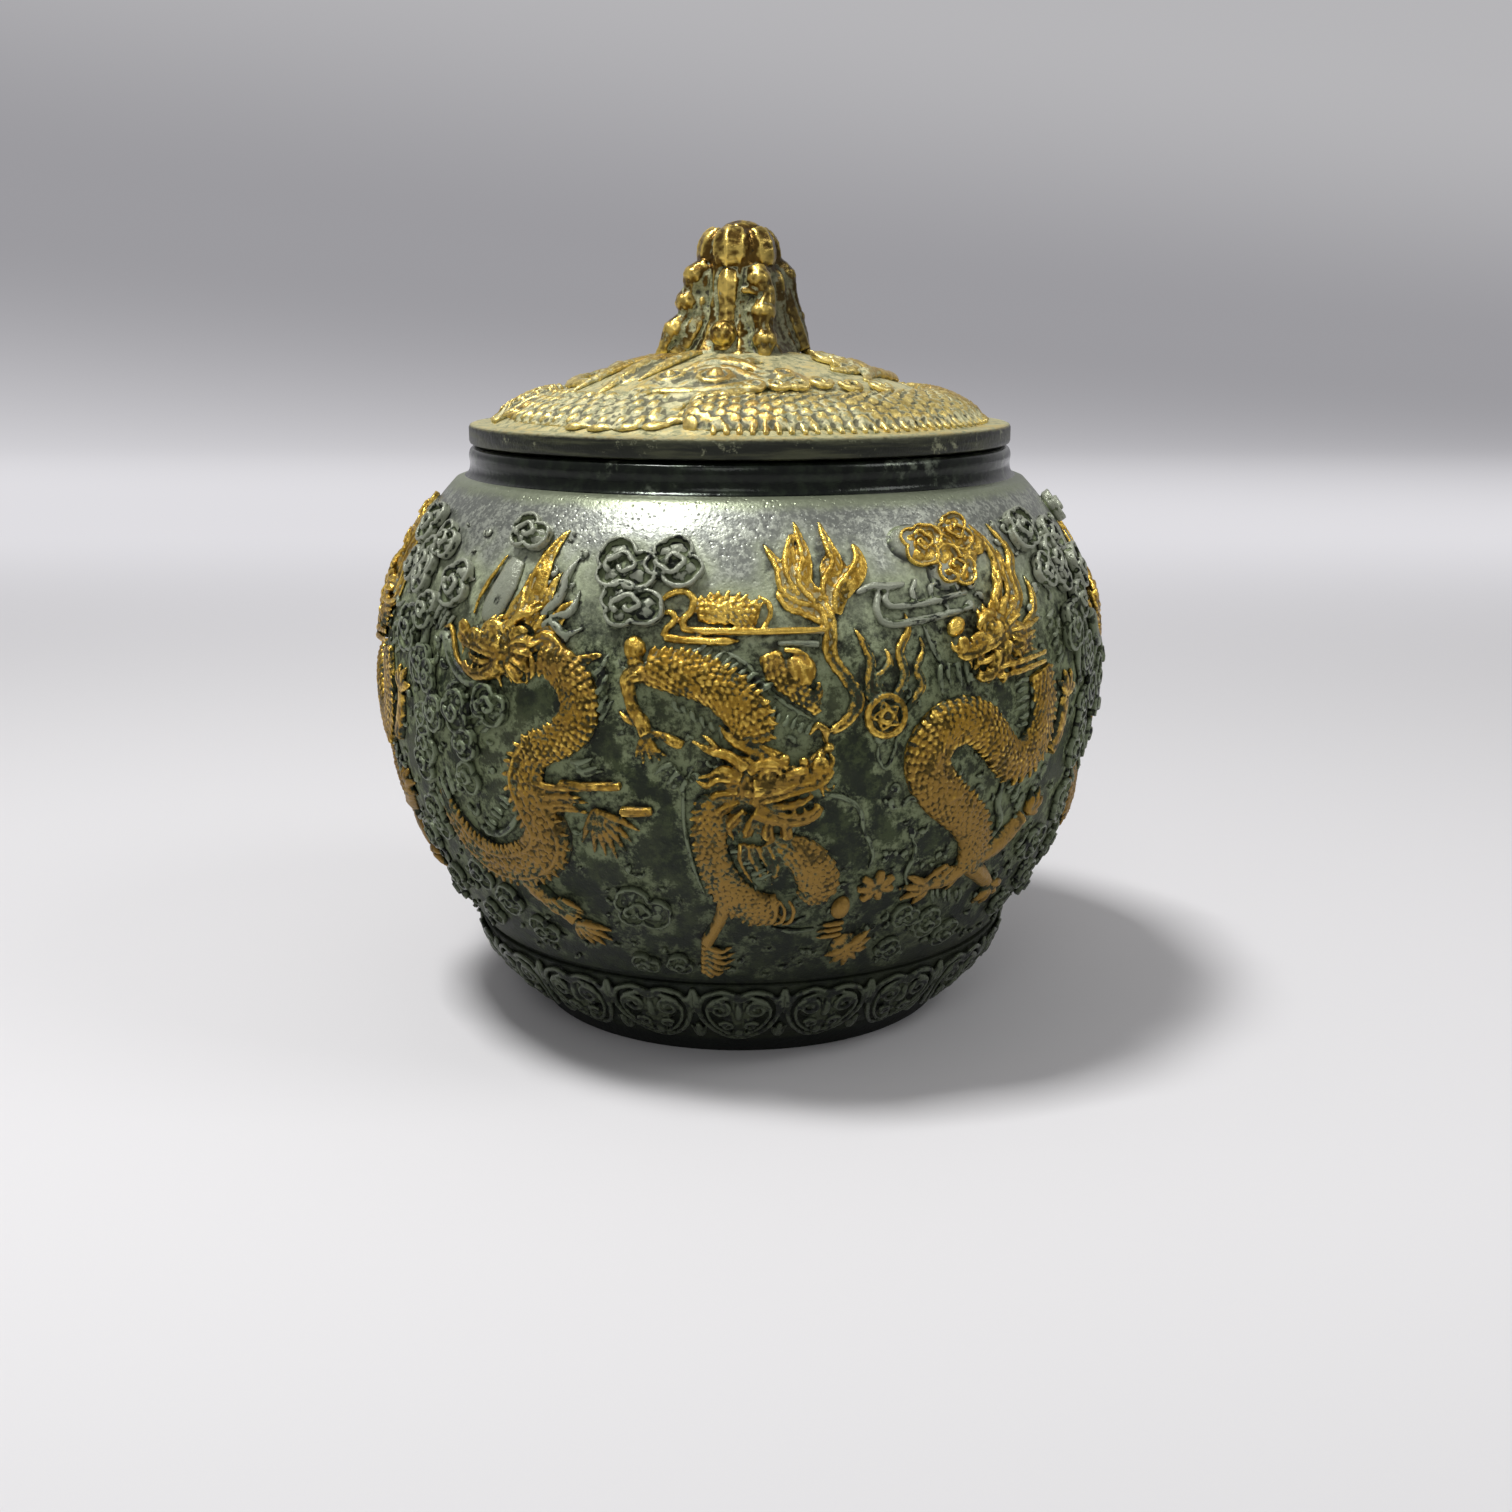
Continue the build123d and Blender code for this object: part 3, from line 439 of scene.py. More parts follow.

# %% [markdown]
# ## Finishes
#
# The bronze was coloured with a green patina, then gilt paint was rubbed over the high places. So every
# finish is layered in the same order: dark metal, green, pale dust in the corners, gilt on the crests, and over
# them, where a finish has them, painted shade in the hollows, painted shadow along the foot of the relief and
# painted highlights on the crests.
# The layers are mixed by the measures stored on the mesh and by noise on Object coordinates, which stays
# with the metal from every side. Colours are given as the light that each material gives back.

# %% Small helpers for a material's nodes


class Finish:
    """A material that is built up from layers; every socket is named by what it does."""

    def __init__(self, name):
        self.material = bpy.data.materials.new(name)
        self.material.use_nodes = True
        self.tree = self.material.node_tree
        self.shader = self.tree.nodes["Principled BSDF"]
        self.places = self.tree.nodes.new("ShaderNodeTexCoord").outputs["Object"]

    def join(self, value, socket):
        """Feed a socket from another one, or set it to a plain value."""
        if isinstance(value, bpy.types.NodeSocket):
            self.tree.links.new(value, socket)
        else:
            socket.default_value = value

    def add(self, kind, output, inputs, **settings):
        """One output of a new node, whose inputs and settings are given by name or by number."""
        node = self.tree.nodes.new("ShaderNode" + kind)
        for name, value in settings.items():
            setattr(node, name, value)
        for name, value in inputs.items():
            self.join(value, node.inputs[name])
        return node.outputs[output]

    def measure(self, name):
        """A number that the mesh keeps for each point."""
        return self.add("Attribute", "Fac", {}, attribute_name=name)

    def noise(self, size, detail=3.0, roughness=0.5, stretch=(1, 1, 1), shift=0.0):
        """Noise from 0 to 1 whose patches are about size millimetres wide."""
        moved = {"Vector": self.places, "Scale": stretch, "Location": (shift, shift * 0.7, shift * 0.3)}
        shape = {"Scale": 500.0 / size, "Detail": detail, "Roughness": roughness}
        return self.add("TexNoise", "Fac", {"Vector": self.add("Mapping", "Vector", moved), **shape})

    def pits(self, size):
        """Distance to the nearest of many scattered points, in shares of size millimetres."""
        shape = {"Scale": 1000.0 / size, "Randomness": 1.0}
        return self.add("TexVoronoi", "Distance", {"Vector": self.places, **shape})

    def math(self, operation, first, second, third=0.0):
        return self.add("Math", 0, {0: first, 1: second, 2: third}, operation=operation)

    def weigh(self, *pairs):
        """The sum of values times weights; a plain number is added as it is."""
        total = 0.0
        for pair in pairs:
            if isinstance(pair, tuple):
                total = self.math("MULTIPLY_ADD", pair[0], pair[1], total)
            else:
                total = self.math("ADD", total, pair)
        return total

    def step(self, value, low, high):
        """0 below low, 1 above high and a smooth rise between them."""
        inputs = {"Value": value, "From Min": low, "From Max": high}
        return self.add("MapRange", "Result", inputs, interpolation_type="SMOOTHSTEP")

    def mask(self, low, high, *pairs):
        """0 to 1 as a weighed sum goes from low to high."""
        return self.step(self.weigh(*pairs), low, high)

    def height(self, way="Z"):
        """Height over the table, or the place along another way, in millimetres."""
        return self.math("MULTIPLY", self.add("SeparateXYZ", way, {0: self.places}), 1000.0)

    def colour(self, factor, first, second):
        """The first colour where the factor is 0 and the second where it is 1."""
        first, second = ((*c, 1.0) if isinstance(c, tuple) else c for c in (first, second))
        return self.add("Mix", 2, {0: factor, 6: first, 7: second}, data_type="RGBA")

    def over(self, under, cover, factor, most):
        """A cover laid over a colour where the factor is 1, at most so strong."""
        return self.colour(self.math("MULTIPLY", factor, most), under, cover)

    def number(self, factor, first, second):
        return self.add("Mix", 0, {0: factor, 2: first, 3: second}, data_type="FLOAT")

    def bump(self, relief, depth, normal=None, strength=1.0):
        """Raise the surface by depth millimetres where relief is 1."""
        under = {} if normal is None else {"Normal": normal}
        inputs = {"Strength": strength, "Distance": depth * MM, "Height": relief, **under}
        return self.add("Bump", "Normal", inputs)

    def done(self, colour, metallic, roughness, normal=None, specular=0.5):
        inputs = {"Base Color": colour, "Metallic": metallic, "Roughness": roughness}
        under = {} if normal is None else {"Normal": normal}
        for name, value in {**inputs, "Specular IOR Level": specular, **under}.items():
            self.join(value, self.shader.inputs[name])
        return self.material


# %% Colours of the finishes
# The first colour is the dark bronze of the metal, and also the painted shadow along the foot of the relief and on
# the jar's foot ring.
BLACK_BRONZE_AND_SHADE = (0.008, 0.010, 0.008)
DEEP_GREEN = (0.014, 0.021, 0.009)
GREEN = (0.047, 0.062, 0.024)
GREY_GREEN = (0.062, 0.074, 0.034)
VERDIGRIS = (0.23, 0.27, 0.145)
PALE_DUST = (0.40, 0.46, 0.31)
GOLD = (0.88, 0.60, 0.12)
SHADED_GOLD = (0.31, 0.180, 0.024)
BROWN_GOLD = (0.25, 0.150, 0.036)

# %% Worn gilt on the dragons of the wall


def make_worn_gilt():
    f = Finish("worn_gilt")
    lift, crest, swell = f.measure("lift"), f.measure("crest"), f.measure("swell")
    broad, patch = f.noise(17.0, 3.0, 0.55, shift=9.4), f.noise(4.2, 4.0, 0.62, shift=1.7)
    grain, fine = f.noise(1.1, 4.0, 0.72, shift=3.1), f.noise(0.42, 2.0, 0.6, shift=7.7)
    low, high = f.step(f.height(), 84.0, 46.0), f.step(f.height(), 98.0, 108.0)
    # How much gilt is left; a painted highlight that makes the gold bright on crests, more so near the top and less
    # low on the wall, and deep elsewhere as painted shade; and where it has gone brown or black, browner low on the
    # wall.
    rubbed = f.weigh((lift, 0.40), (crest, 2.6), (swell, 0.8), (patch, 2.6), (grain, 2.0), (broad, 1.2), -3.36)
    gilt_share = f.mask(-0.10, 0.32, (high, 1.15), rubbed)
    # Painted highlight: bright gold on the crests and shaded deep gold between them.
    painted_gleam = f.weigh((crest, 7.0), (patch, 2.4), (grain, 1.4), (low, -0.75), (high, 0.35), -2.02)
    gold = f.colour(f.step(painted_gleam, -0.15, 0.95), SHADED_GOLD, GOLD)
    brown = f.mask(0.0, 0.5, (broad, 1.8), (patch, 1.4), (low, 0.85), (crest, -4.0), (high, -0.4), -1.45)
    gold = f.over(gold, BROWN_GOLD, brown, 0.8)
    spots = f.noise(1.9, 3.0, 0.7, shift=6.2)
    tarnish = f.mask(1.06, 1.28, (spots, 1.6), (patch, 0.6), (crest, -2.0), (high, -0.12), (low, -0.10))
    gold = f.over(gold, (0.050, 0.038, 0.010), tarnish, 0.78)
    # The green between the gilt places, dusty where it stands out.
    green = f.colour(f.step(grain, 0.38, 0.62), DEEP_GREEN, GREEN)
    dusty = f.mask(0.0, 0.3, (lift, 0.20), (patch, 1.6), (grain, 1.6), -1.72)
    green = f.over(green, VERDIGRIS, dusty, 0.6)
    colour = f.colour(gilt_share, green, gold)
    # Painted shade in the hollows, which turns to pale dust near the top, and along the foot of the relief a painted
    # black shadow with patches of verdigris dust.
    hollow = f.mask(0.0, 0.5, (crest, -14.0), (lift, -0.12), (grain, 1.0), (patch, 0.8), (high, -0.3), -0.86)
    sunk_shade_and_dust = f.over((0.034, 0.026, 0.008), (0.52, 0.48, 0.27), high, 0.75)
    colour = f.over(colour, sunk_shade_and_dust, hollow, 0.72)
    foot = f.mask(0.85, 0.45, lift, (grain, 0.6))
    foot_shadow_and_dust = f.colour(f.mask(1.36, 1.62, (grain, 1.2), (patch, 1.4), (high, 0.25)), BLACK_BRONZE_AND_SHADE, VERDIGRIS)
    colour = f.over(colour, foot_shadow_and_dust, foot, 0.85)
    metallic = f.number(gilt_share, 0.1, f.number(low, 0.92, 0.5))
    rough = f.number(gilt_share, 0.62, f.number(f.step(painted_gleam, -0.1, 0.9), 0.46, 0.27))
    return f.done(colour, metallic, rough, f.bump(grain, 0.34, f.bump(fine, 0.12)), 0.3)


# %% Green patina on the wall of the jar


def make_wall_patina():
    f = Finish("green_patina")
    near, height = f.measure("near"), f.height()
    patch, grain = f.noise(18.0, 5.0, 0.62, shift=1.3), f.noise(2.2, 5.0, 0.75)
    fine, smear = f.noise(0.5, 3.0, 0.6, shift=5.0), f.noise(6.0, 5.0, 0.75, shift=8.1)
    # Mottled green metal with dark smears.
    ground = f.colour(f.step(grain, 0.42, 0.60), DEEP_GREEN, GREEN)
    ground = f.colour(f.step(patch, 0.44, 0.62), ground, GREY_GREEN)
    ground = f.over(ground, BLACK_BRONZE_AND_SHADE, f.mask(1.34, 1.02, (smear, 1.0), (grain, 1.4)), 0.36)
    # Verdigris and dust close to the relief, more of it higher up.
    close = f.mask(0.0, 0.7, (near, -0.32), (grain, 2.8), (fine, 1.4), (patch, 1.0), -1.92)
    ground = f.over(ground, VERDIGRIS, close, 0.85)
    upper = f.mask(110.0, 138.0, height, (grain, 14.0), (patch, 20.0))
    edge = f.mask(0.0, 0.6, (near, -0.35), (grain, 2.6), (upper, 0.6), -1.30)
    ground = f.over(ground, PALE_DUST, edge, 0.55)
    # Dark towards the foot, dusted under the shoulder, and a painted black shadow on the ground right next to the
    # relief.
    ground = f.over(ground, BLACK_BRONZE_AND_SHADE, f.step(height, 76.0, 24.0), 0.70)
    dusted = f.mask(124.0, 148.0, height, (grain, 30.0), (fine, 12.0), (patch, 14.0))
    ground = f.over(ground, (0.42, 0.46, 0.31), dusted, 0.78)
    # Painted shadow: near black on the ground within about a millimetre of the relief.
    ground = f.over(ground, (0.004, 0.005, 0.004), f.mask(1.75, 1.05, near, (grain, 1.8)), 0.88)
    # Bare grey metal on the shoulder, a pale seam under the collar, and the undercut foot ring painted black as
    # shade.
    shoulder = f.mask(127.0, 138.0, height, (patch, 30.0), (grain, 8.0), (f.step(near, 5.0, 0.0), -6.0))
    speck = f.mask(0.92, 1.16, (grain, 1.0), (fine, 1.0))
    colour = f.colour(shoulder, ground, f.colour(speck, (0.20, 0.21, 0.185), (0.42, 0.44, 0.37)))
    colour = f.over(colour, (0.26, 0.29, 0.19), f.mask(129.6, 132.0, height, (grain, 4.0)), 0.85)
    # Painted shade: the lowest few millimetres, the undercut foot in the floor's contact shadow, are painted black.
    colour = f.colour(f.step(height, 4.4, 3.2), colour, BLACK_BRONZE_AND_SHADE)
    rough = f.number(shoulder, f.number(grain, 0.50, 0.72), f.number(grain, 0.30, 0.44))
    normal = f.bump(grain, 0.42, f.bump(fine, 0.10), f.number(shoulder, 1.0, 0.15))
    normal = f.bump(f.step(f.pits(1.3), 0.0, 0.35), 0.09, normal)
    return f.done(colour, f.number(shoulder, 0.1, 0.7), rough, normal, 0.25)


# %% Green patina on the clouds and the petals


def make_relief_patina():
    f = Finish("green_patina_relief")
    lift, crest, height = f.measure("lift"), f.measure("crest"), f.height()
    patch, grain = f.noise(7.0, 5.0, 0.65), f.noise(1.6, 5.0, 0.78, shift=3.1)
    fine, high = f.noise(0.5, 3.0, 0.65, shift=7.7), f.step(height, 94.0, 114.0)
    ground = f.colour(f.step(grain, 0.42, 0.60), BLACK_BRONZE_AND_SHADE, GREEN)
    ground = f.colour(f.step(patch, 0.46, 0.66), ground, (0.056, 0.070, 0.034))
    # Pale worn crests, verdigris in the hollows, a painted black shadow with patches of verdigris dust at the foot of
    # each curl, and darker low on the jar.
    worn = f.mask(0.0, 0.6, (crest, 7.0), (grain, 2.6), (fine, 1.0), (patch, 1.0), (high, 0.40), -2.60)
    ground = f.over(ground, f.colour(high, (0.19, 0.225, 0.135), (0.38, 0.40, 0.31)), worn, 0.8)
    hollow = f.mask(0.0, 0.5, (crest, -6.0), (lift, -0.30), (grain, 2.2), (patch, 1.6), -1.75)
    ground = f.over(ground, VERDIGRIS, hollow, 0.6)
    # Painted shadow along the foot of each curl, broken by verdigris dust.
    foot_shadow_and_dust = f.colour(f.mask(1.30, 1.55, (grain, 1.2), (patch, 1.4)), BLACK_BRONZE_AND_SHADE, VERDIGRIS)
    ground = f.over(ground, foot_shadow_and_dust, f.step(lift, 0.75, 0.25), 0.85)
    ground = f.over(ground, BLACK_BRONZE_AND_SHADE, f.step(height, 70.0, 20.0), 0.62)
    rough = f.number(f.step(crest, 0.0, 0.08), 0.55, 0.28)
    return f.done(ground, 0.25, rough, f.bump(grain, 0.40, f.bump(fine, 0.14)), 0.3)


# %% Dark bronze of the collar and of the ring under the lid


def make_dark_bronze():
    f = Finish("dark_bronze")
    patch, grain, fine = f.noise(14.0, 4.0, 0.6, shift=4.2), f.noise(1.8, 4.0, 0.7), f.noise(0.6, 2.0, 0.6)
    ground = f.colour(f.step(grain, 0.4, 0.7), BLACK_BRONZE_AND_SHADE, (0.022, 0.030, 0.018))
    colour = f.over(ground, (0.22, 0.25, 0.19), f.mask(1.36, 1.62, (patch, 1.6), (grain, 0.9)), 0.75)
    return f.done(colour, 0.6, f.number(grain, 0.10, 0.26), f.bump(grain, 0.12, f.bump(fine, 0.05)))


# %% Pale verdigris on the dome of the lid, olive on its edge


def make_pale_verdigris():
    f = Finish("pale_verdigris")
    patch, grain, fine = f.noise(9.0, 4.0, 0.6), f.noise(1.2, 5.0, 0.75), f.noise(0.45, 2.0, 0.6)
    streak = f.noise(3.0, 4.0, 0.6, stretch=(0.3, 0.3, 3.0))
    ground = f.colour(f.step(grain, 0.34, 0.58), (0.20, 0.21, 0.11), (0.60, 0.56, 0.31))
    ground = f.colour(f.step(patch, 0.5, 0.7), ground, (0.33, 0.34, 0.20))
    ground = f.over(ground, (0.70, 0.50, 0.14), f.mask(1.16, 1.45, (grain, 1.2), (patch, 1.2)), 0.6)
    olive = f.colour(f.step(streak, 0.4, 0.65), (0.012, 0.014, 0.008), (0.062, 0.066, 0.034))
    olive = f.over(olive, (0.30, 0.31, 0.19), f.mask(1.72, 1.95, (patch, 1.4), (grain, 1.6)), 0.8)
    rim = f.mask(142.6, 141.6, f.height(), (grain, -1.6))
    rough = f.number(rim, f.number(grain, 0.40, 0.6), f.number(streak, 0.28, 0.5))
    return f.done(f.colour(rim, ground, olive), 0.4, rough, f.bump(grain, 0.3, f.bump(fine, 0.10)))


# %% Pale gilt on the dragon of the lid


def make_pale_gilt():
    f = Finish("pale_gilt")
    lift, crest, swell = f.measure("lift"), f.measure("crest"), f.measure("swell")
    broad, patch = f.noise(13.0, 3.0, 0.55, shift=9.4), f.noise(3.6, 4.0, 0.62, shift=1.7)
    grain, fine = f.noise(1.0, 4.0, 0.72, shift=3.1), f.noise(0.42, 2.0, 0.6, shift=7.7)
    raised = f.weigh((crest, 4.6), (swell, 0.5), (lift, 0.16))
    rubbed = f.mask(0.0, 0.5, raised, (patch, 2.0), (grain, 1.4), (broad, 1.2), -2.54)
    # Painted highlight: the crests are painted bright gold, the rest a shaded brown gold.
    painted_gleam = f.mask(0.0, 1.0, (crest, 5.0), (patch, 2.0), (grain, 1.6), -1.75)
    gold = f.colour(painted_gleam, (0.34, 0.235, 0.050), (0.93, 0.75, 0.27))
    gold = f.over(gold, (0.46, 0.28, 0.07), f.mask(1.42, 1.75, (broad, 2.0), (patch, 0.8)), 0.6)
    pale = f.colour(f.step(grain, 0.34, 0.58), (0.24, 0.25, 0.13), (0.66, 0.61, 0.34))
    # Painted shade: the hollows between the raised forms are painted near black.
    deep = f.mask(0.0, 0.5, (crest, -7.0), (swell, -0.5), (grain, 1.4), (patch, 1.0), -1.12)
    colour = f.over(f.colour(rubbed, pale, gold), (0.045, 0.044, 0.020), deep, 0.82)
    rough = f.number(rubbed, 0.6, f.number(grain, 0.28, 0.46))
    return f.done(colour, f.number(rubbed, 0.1, 0.8), rough, f.bump(grain, 0.24, f.bump(fine, 0.10)))


# %% Smooth gilt on the knob, worn to the metal, with painted highlights on its swellings and painted shade in its hollows and down its right side


def make_knob_gilt():
    f = Finish("knob_gilt")
    crest, swell = f.measure("crest"), f.measure("swell")
    broad, patch = f.noise(12.0, 3.0, 0.55, shift=2.4), f.noise(3.4, 3.0, 0.6, shift=1.7)
    grain, fine = f.noise(1.0, 4.0, 0.72, shift=3.1), f.noise(0.42, 2.0, 0.6, shift=7.7)
    # Painted highlight: bright gold on the swellings and crests, dark brown gold elsewhere.
    painted_gleam = f.mask(0.0, 0.75, (swell, 2.6), (crest, 3.0), (patch, 1.2), (grain, 0.5), (broad, 1.0), -1.55)
    gold = f.colour(painted_gleam, (0.13, 0.075, 0.016), (0.92, 0.67, 0.17))
    pale = f.colour(f.step(grain, 0.36, 0.62), (0.15, 0.165, 0.075), (0.46, 0.46, 0.26))
    cap = f.step(f.height(), 177.0, 181.0)
    bare = f.mask(0.0, 0.4, (swell, -2.6), (crest, -3.0), (patch, 1.6), (grain, 1.0), (cap, -0.9), -1.10)
    # Painted shade: near black in the hollows.
    dark = f.mask(0.0, 0.4, (crest, -9.0), (swell, -1.2), (grain, 0.8), -1.0)
    colour = f.over(f.colour(bare, gold, pale), (0.020, 0.016, 0.007), dark, 0.85)
    # Painted shade down the right side, away from the high lamp on the left.
    right_side_shade = f.mask(6.5, 13.0, (f.height("X"), 1.0), (patch, 5.0), (grain, 3.0))
    colour = f.over(colour, (0.034, 0.028, 0.012), right_side_shade, 0.66)
    rough = f.number(bare, f.number(grain, 0.24, 0.40), 0.55)
    return f.done(colour, f.number(bare, 0.92, 0.2), rough, f.bump(grain, 0.16, f.bump(fine, 0.08)))


gilt = make_worn_gilt()
wall_patina = make_wall_patina()
patina = make_relief_patina()
dark_bronze = make_dark_bronze()
pale_verdigris = make_pale_verdigris()
pale_gilt = make_pale_gilt()
knob_gilt = make_knob_gilt()
print("finishes:", [m.name for m in bpy.data.materials])

# %% [markdown]
# ## Scales, tongues and claws
#
# The dragons share a few small forms: overlapping scales along a body, a finned back, flame tongues with
# raised edges, and feet with knuckled toes. Each is a short function, so each dragon is a list of strokes.

# %% Scales and fins along a body


def across(line, number):
    """The direction across a line in the sheet, at one of its points."""
    before, after = line[max(number - 1, 0)], line[min(number + 1, len(line) - 1)]
    along = (after - before)[:2]
    along = along / max(np.hypot(*along), 1e-6)
    return along, np.array([along[1], -along[0]])


def spaced(line, pitch):
    """Numbers of the line's points that lie a pitch apart."""
    runs = np.hypot(*np.diff(line[:, :2], axis=0).T)
    travelled = np.concatenate([[0.0], np.cumsum(runs)])
    marks = np.arange(pitch / 2, travelled[-1], pitch)
    return [int(np.argmin(np.abs(travelled - mark))) for mark in marks]


SCALE_TILT = 22
SCALE_SHAPE = (0.45, 0.60, 0.16)


def add_scales(wax, line, pitch, flatness, reach, size=1.0):
    """Staggered scales over a rope, out to an angle of reach; their free edges point along the line."""
    for row, number in enumerate(spaced(line, pitch * 0.82)):
        x, y, lift, radius = line[number]
        if radius < pitch * 0.7:
            continue
        along, side = across(line, number)
        turn = np.degrees(np.arctan2(along[1], along[0])) - 90
        gap = np.degrees(pitch / radius)
        shift = gap / 2 * (row % 2)
        for lean in np.arange(-reach + shift, reach + 1, gap):
            out = cos(radians(lean)) * flatness
            aside = sin(radians(lean))
            centre = (x + side[0] * radius * aside, y + side[1] * radius * aside, lift + radius * out)
            tilted = Matrix.Rotation(radians(turn), 4, "Z") @ Matrix.Rotation(radians(lean), 4, "Y")
            tilted = tilted @ Matrix.Rotation(radians(SCALE_TILT), 4, "X")
            wide, long, thick = (pitch * share for share in SCALE_SHAPE)
            grown = Matrix.Diagonal((wide * size, long * size, thick, 1))
            wax.ball(Matrix.Translation(Vector(centre)) @ tilted @ grown, 1)


FIN_SWEEP = 0.8


def add_fins(wax, line, side_sign, pitch, length, girth):
    """A row of small flames along one edge of a body, swept back along the line."""
    for number in spaced(line, pitch):
        x, y, lift, radius = line[number]
        along, side = across(line, number)
        side = side * side_sign
        root = np.array([x, y]) + side * radius * 0.75
        tip = np.array([x, y]) + side * (radius + length * 0.8) + along * length * FIN_SWEEP
        middle = (root + tip) / 2 + side * length * 0.15
        height = lift + radius * 0.35
        rows = [[*root, height, girth / 2], [*middle, height, girth * 0.42], [*tip, height * 0.7, 0.1]]
        wax.cord(rows, 0.5)


# %% Flame tongues and locks of hair


def shifted(line, share):
    """A line moved sideways by a share of its radius."""
    moved = line.copy()
    for number in range(len(line)):
        _, side = across(line, number)
        moved[number, :2] += side * line[number, 3] * share
    return moved


def add_tongue(wax, stations, girth, flatness=0.34):
    """A flat tongue of flame with a strong ridge down one side, a thin one down the other and a point."""
    line = wax.stroke(stations, girth, 0.6, flatness)
    for aside, raised, radius in ((-0.55, 0.7, 0.625), (0.9, 0.4, 0.3)):
        rim = shifted(line, aside)
        rim[:, 2] += line[:, 3] * flatness * raised
        rim[:, 3] = np.minimum(radius, line[:, 3])
        wax.rope(rim)


# %% Bodies, hair and curls
FLAT = 0.52


def add_body(wax, stations, girth, pitch, fins=None, fin_length=1.0):
    """A flattened, scaled body; fins is -1 or 1 for the edge that carries them."""
    line = wax.stroke(stations, girth, 0.15, FLAT)
    add_scales(wax, line, pitch, FLAT, 72.0)
    if fins:
        add_fins(wax, line, fins, 1.7, fin_length, 1.0)


def add_toes(wax, root, tips, bend, thick, thin, girth, lift):
    """Toes from one root; bend moves each middle, thick and thin are the shares of girth at the ends."""
    for tip in tips:
        middle = ((root[0] + tip[0]) / 2 + bend[0], (root[1] + tip[1]) / 2 + bend[1])
        wax.stroke([(*root, thick), (*middle, 1.0), (*tip, thin)], girth, lift)


def add_strands(wax, roots, tips, count, girth, lift, wave):
    """Wavy locks from one edge to another; roots and tips are each a pair of places."""
    for number in range(count):
        share = (number + 0.5) / count
        root = wax.place(*(np.array(roots[0]) * (1 - share) + np.array(roots[1]) * share))
        tip = wax.place(*(np.array(tips[0]) * (1 - share) + np.array(tips[1]) * share))
        way = tip - root
        side = np.array([way[1], -way[0], 0.0]) / max(np.linalg.norm(way), 1e-6)
        way = way * (0.86 + 0.14 * cos(2.4 * number))
        rows = []
        for step, size in ((0.0, 0.8), (0.3, 1.0), (0.6, 0.85), (0.85, 0.55), (1.0, 0.15)):
            point = root + way * step + side * wave * sin(4.4 * step + 0.35 * number)
            height = lift * (1 - 0.55 * step) + 0.25 * cos(3.1 * number)
            rows.append([point[0], point[1], height, girth / 2 * size])
        wax.cord(rows, 0.5)


def add_ring(wax, x, y, wide, deep, radius, lift, count):
    """A cord laid in an oval about a point."""
    turns = np.linspace(0, 2 * pi, count)
    wax.rope(np.array([[x + wide * cos(t), y + deep * sin(t), lift, radius] for t in turns]))


def add_curl(wax, place, radius, start, hand, turns, girth, lift, close=0.75):
    """A rope that curls in to its own eye."""
    px, py, _ = wax.place(*place)
    rows = []
    for share in np.linspace(0, 1, int(16 * turns) + 4):
        turn = radians(start) + hand * share * turns * 2 * pi
        reach = radius * (1 - close * share)
        rows.append([px + reach * cos(turn), py + reach * sin(turn), lift, girth / 2 * (1 - 0.2 * share)])
    wax.rope(np.array(rows))


def add_cloud(wax, place, radius, turn, hand, lobes, squash, lift, girth):
    """A cloud head: a plate with a lobed outline, a thin raised rim and a shell-like curl inside."""
    px, py, _ = wax.place(*place)
    puffs = []
    for lobe in range(lobes):
        t = radians(turn + 24 * cos(2.1 * lobe)) + 2 * pi * lobe / lobes
        size = radius * (0.52 + 0.1 * cos(1.7 * lobe + 1))
        reach = radius * (0.56 + 0.08 * cos(t - radians(turn)))
        puffs.append((t, size, reach))
        for share, height in ((1.0, 0.0), (0.75, 0.35)):
            centre = (px + reach * cos(t), py + reach * sin(t) * squash, -0.5)
            wax.lump(centre, (size * share, size * share * squash, lift + height))
    wax.lump((px, py, -0.3), (radius * 0.7, radius * 0.7 * squash, lift + 0.1))

    def outline(t):
        edge = radius * 0.5
        for middle, size, reach in puffs:
            aside = reach * sin(t - middle)
            if abs(aside) < size:
                edge = max(edge, reach * cos(t - middle) + sqrt(size**2 - aside**2))
        return edge

    def place_at(t, reach, height, thick):
        return [px + reach * cos(t), py + reach * sin(t) * squash, height, girth / 2 * thick]

    around = np.linspace(0, 2 * pi, 72)
    for share, height, thick in ((1.0, lift * 0.9, 1.0), (0.99, lift * 0.45, 1.25)):
        wax.rope(np.array([place_at(t, outline(t) * share, height, thick) for t in around]))
    rows = []
    for share in np.linspace(0, 1, 40):
        t = radians(turn + 120) + hand * share * 1.05 * 2 * pi
        reach = radius * (0.56 - 0.40 * share) * (1 + 0.12 * cos(4 * t))
        rows.append(place_at(t, reach, lift + 0.35, 1.25 - 0.2 * share))
    wax.rope(np.array(rows))


# %% [markdown]
# ## The heads on the wall
#
# The wall's dragons have one kind of head: a long snout with a bulb of a nose, an open mouth with fangs
# and a tongue, a bulging eye under a tufted brow, horns laid back and a mane of flame-like locks. It is
# drawn once, looking to the right, in rows of x, y, lift and radius from the eye. For each dragon the
# drawing is turned, mirrored and sized, which keeps the three alike, as one carver's heads are.

# %% One head for the dragons of the wall


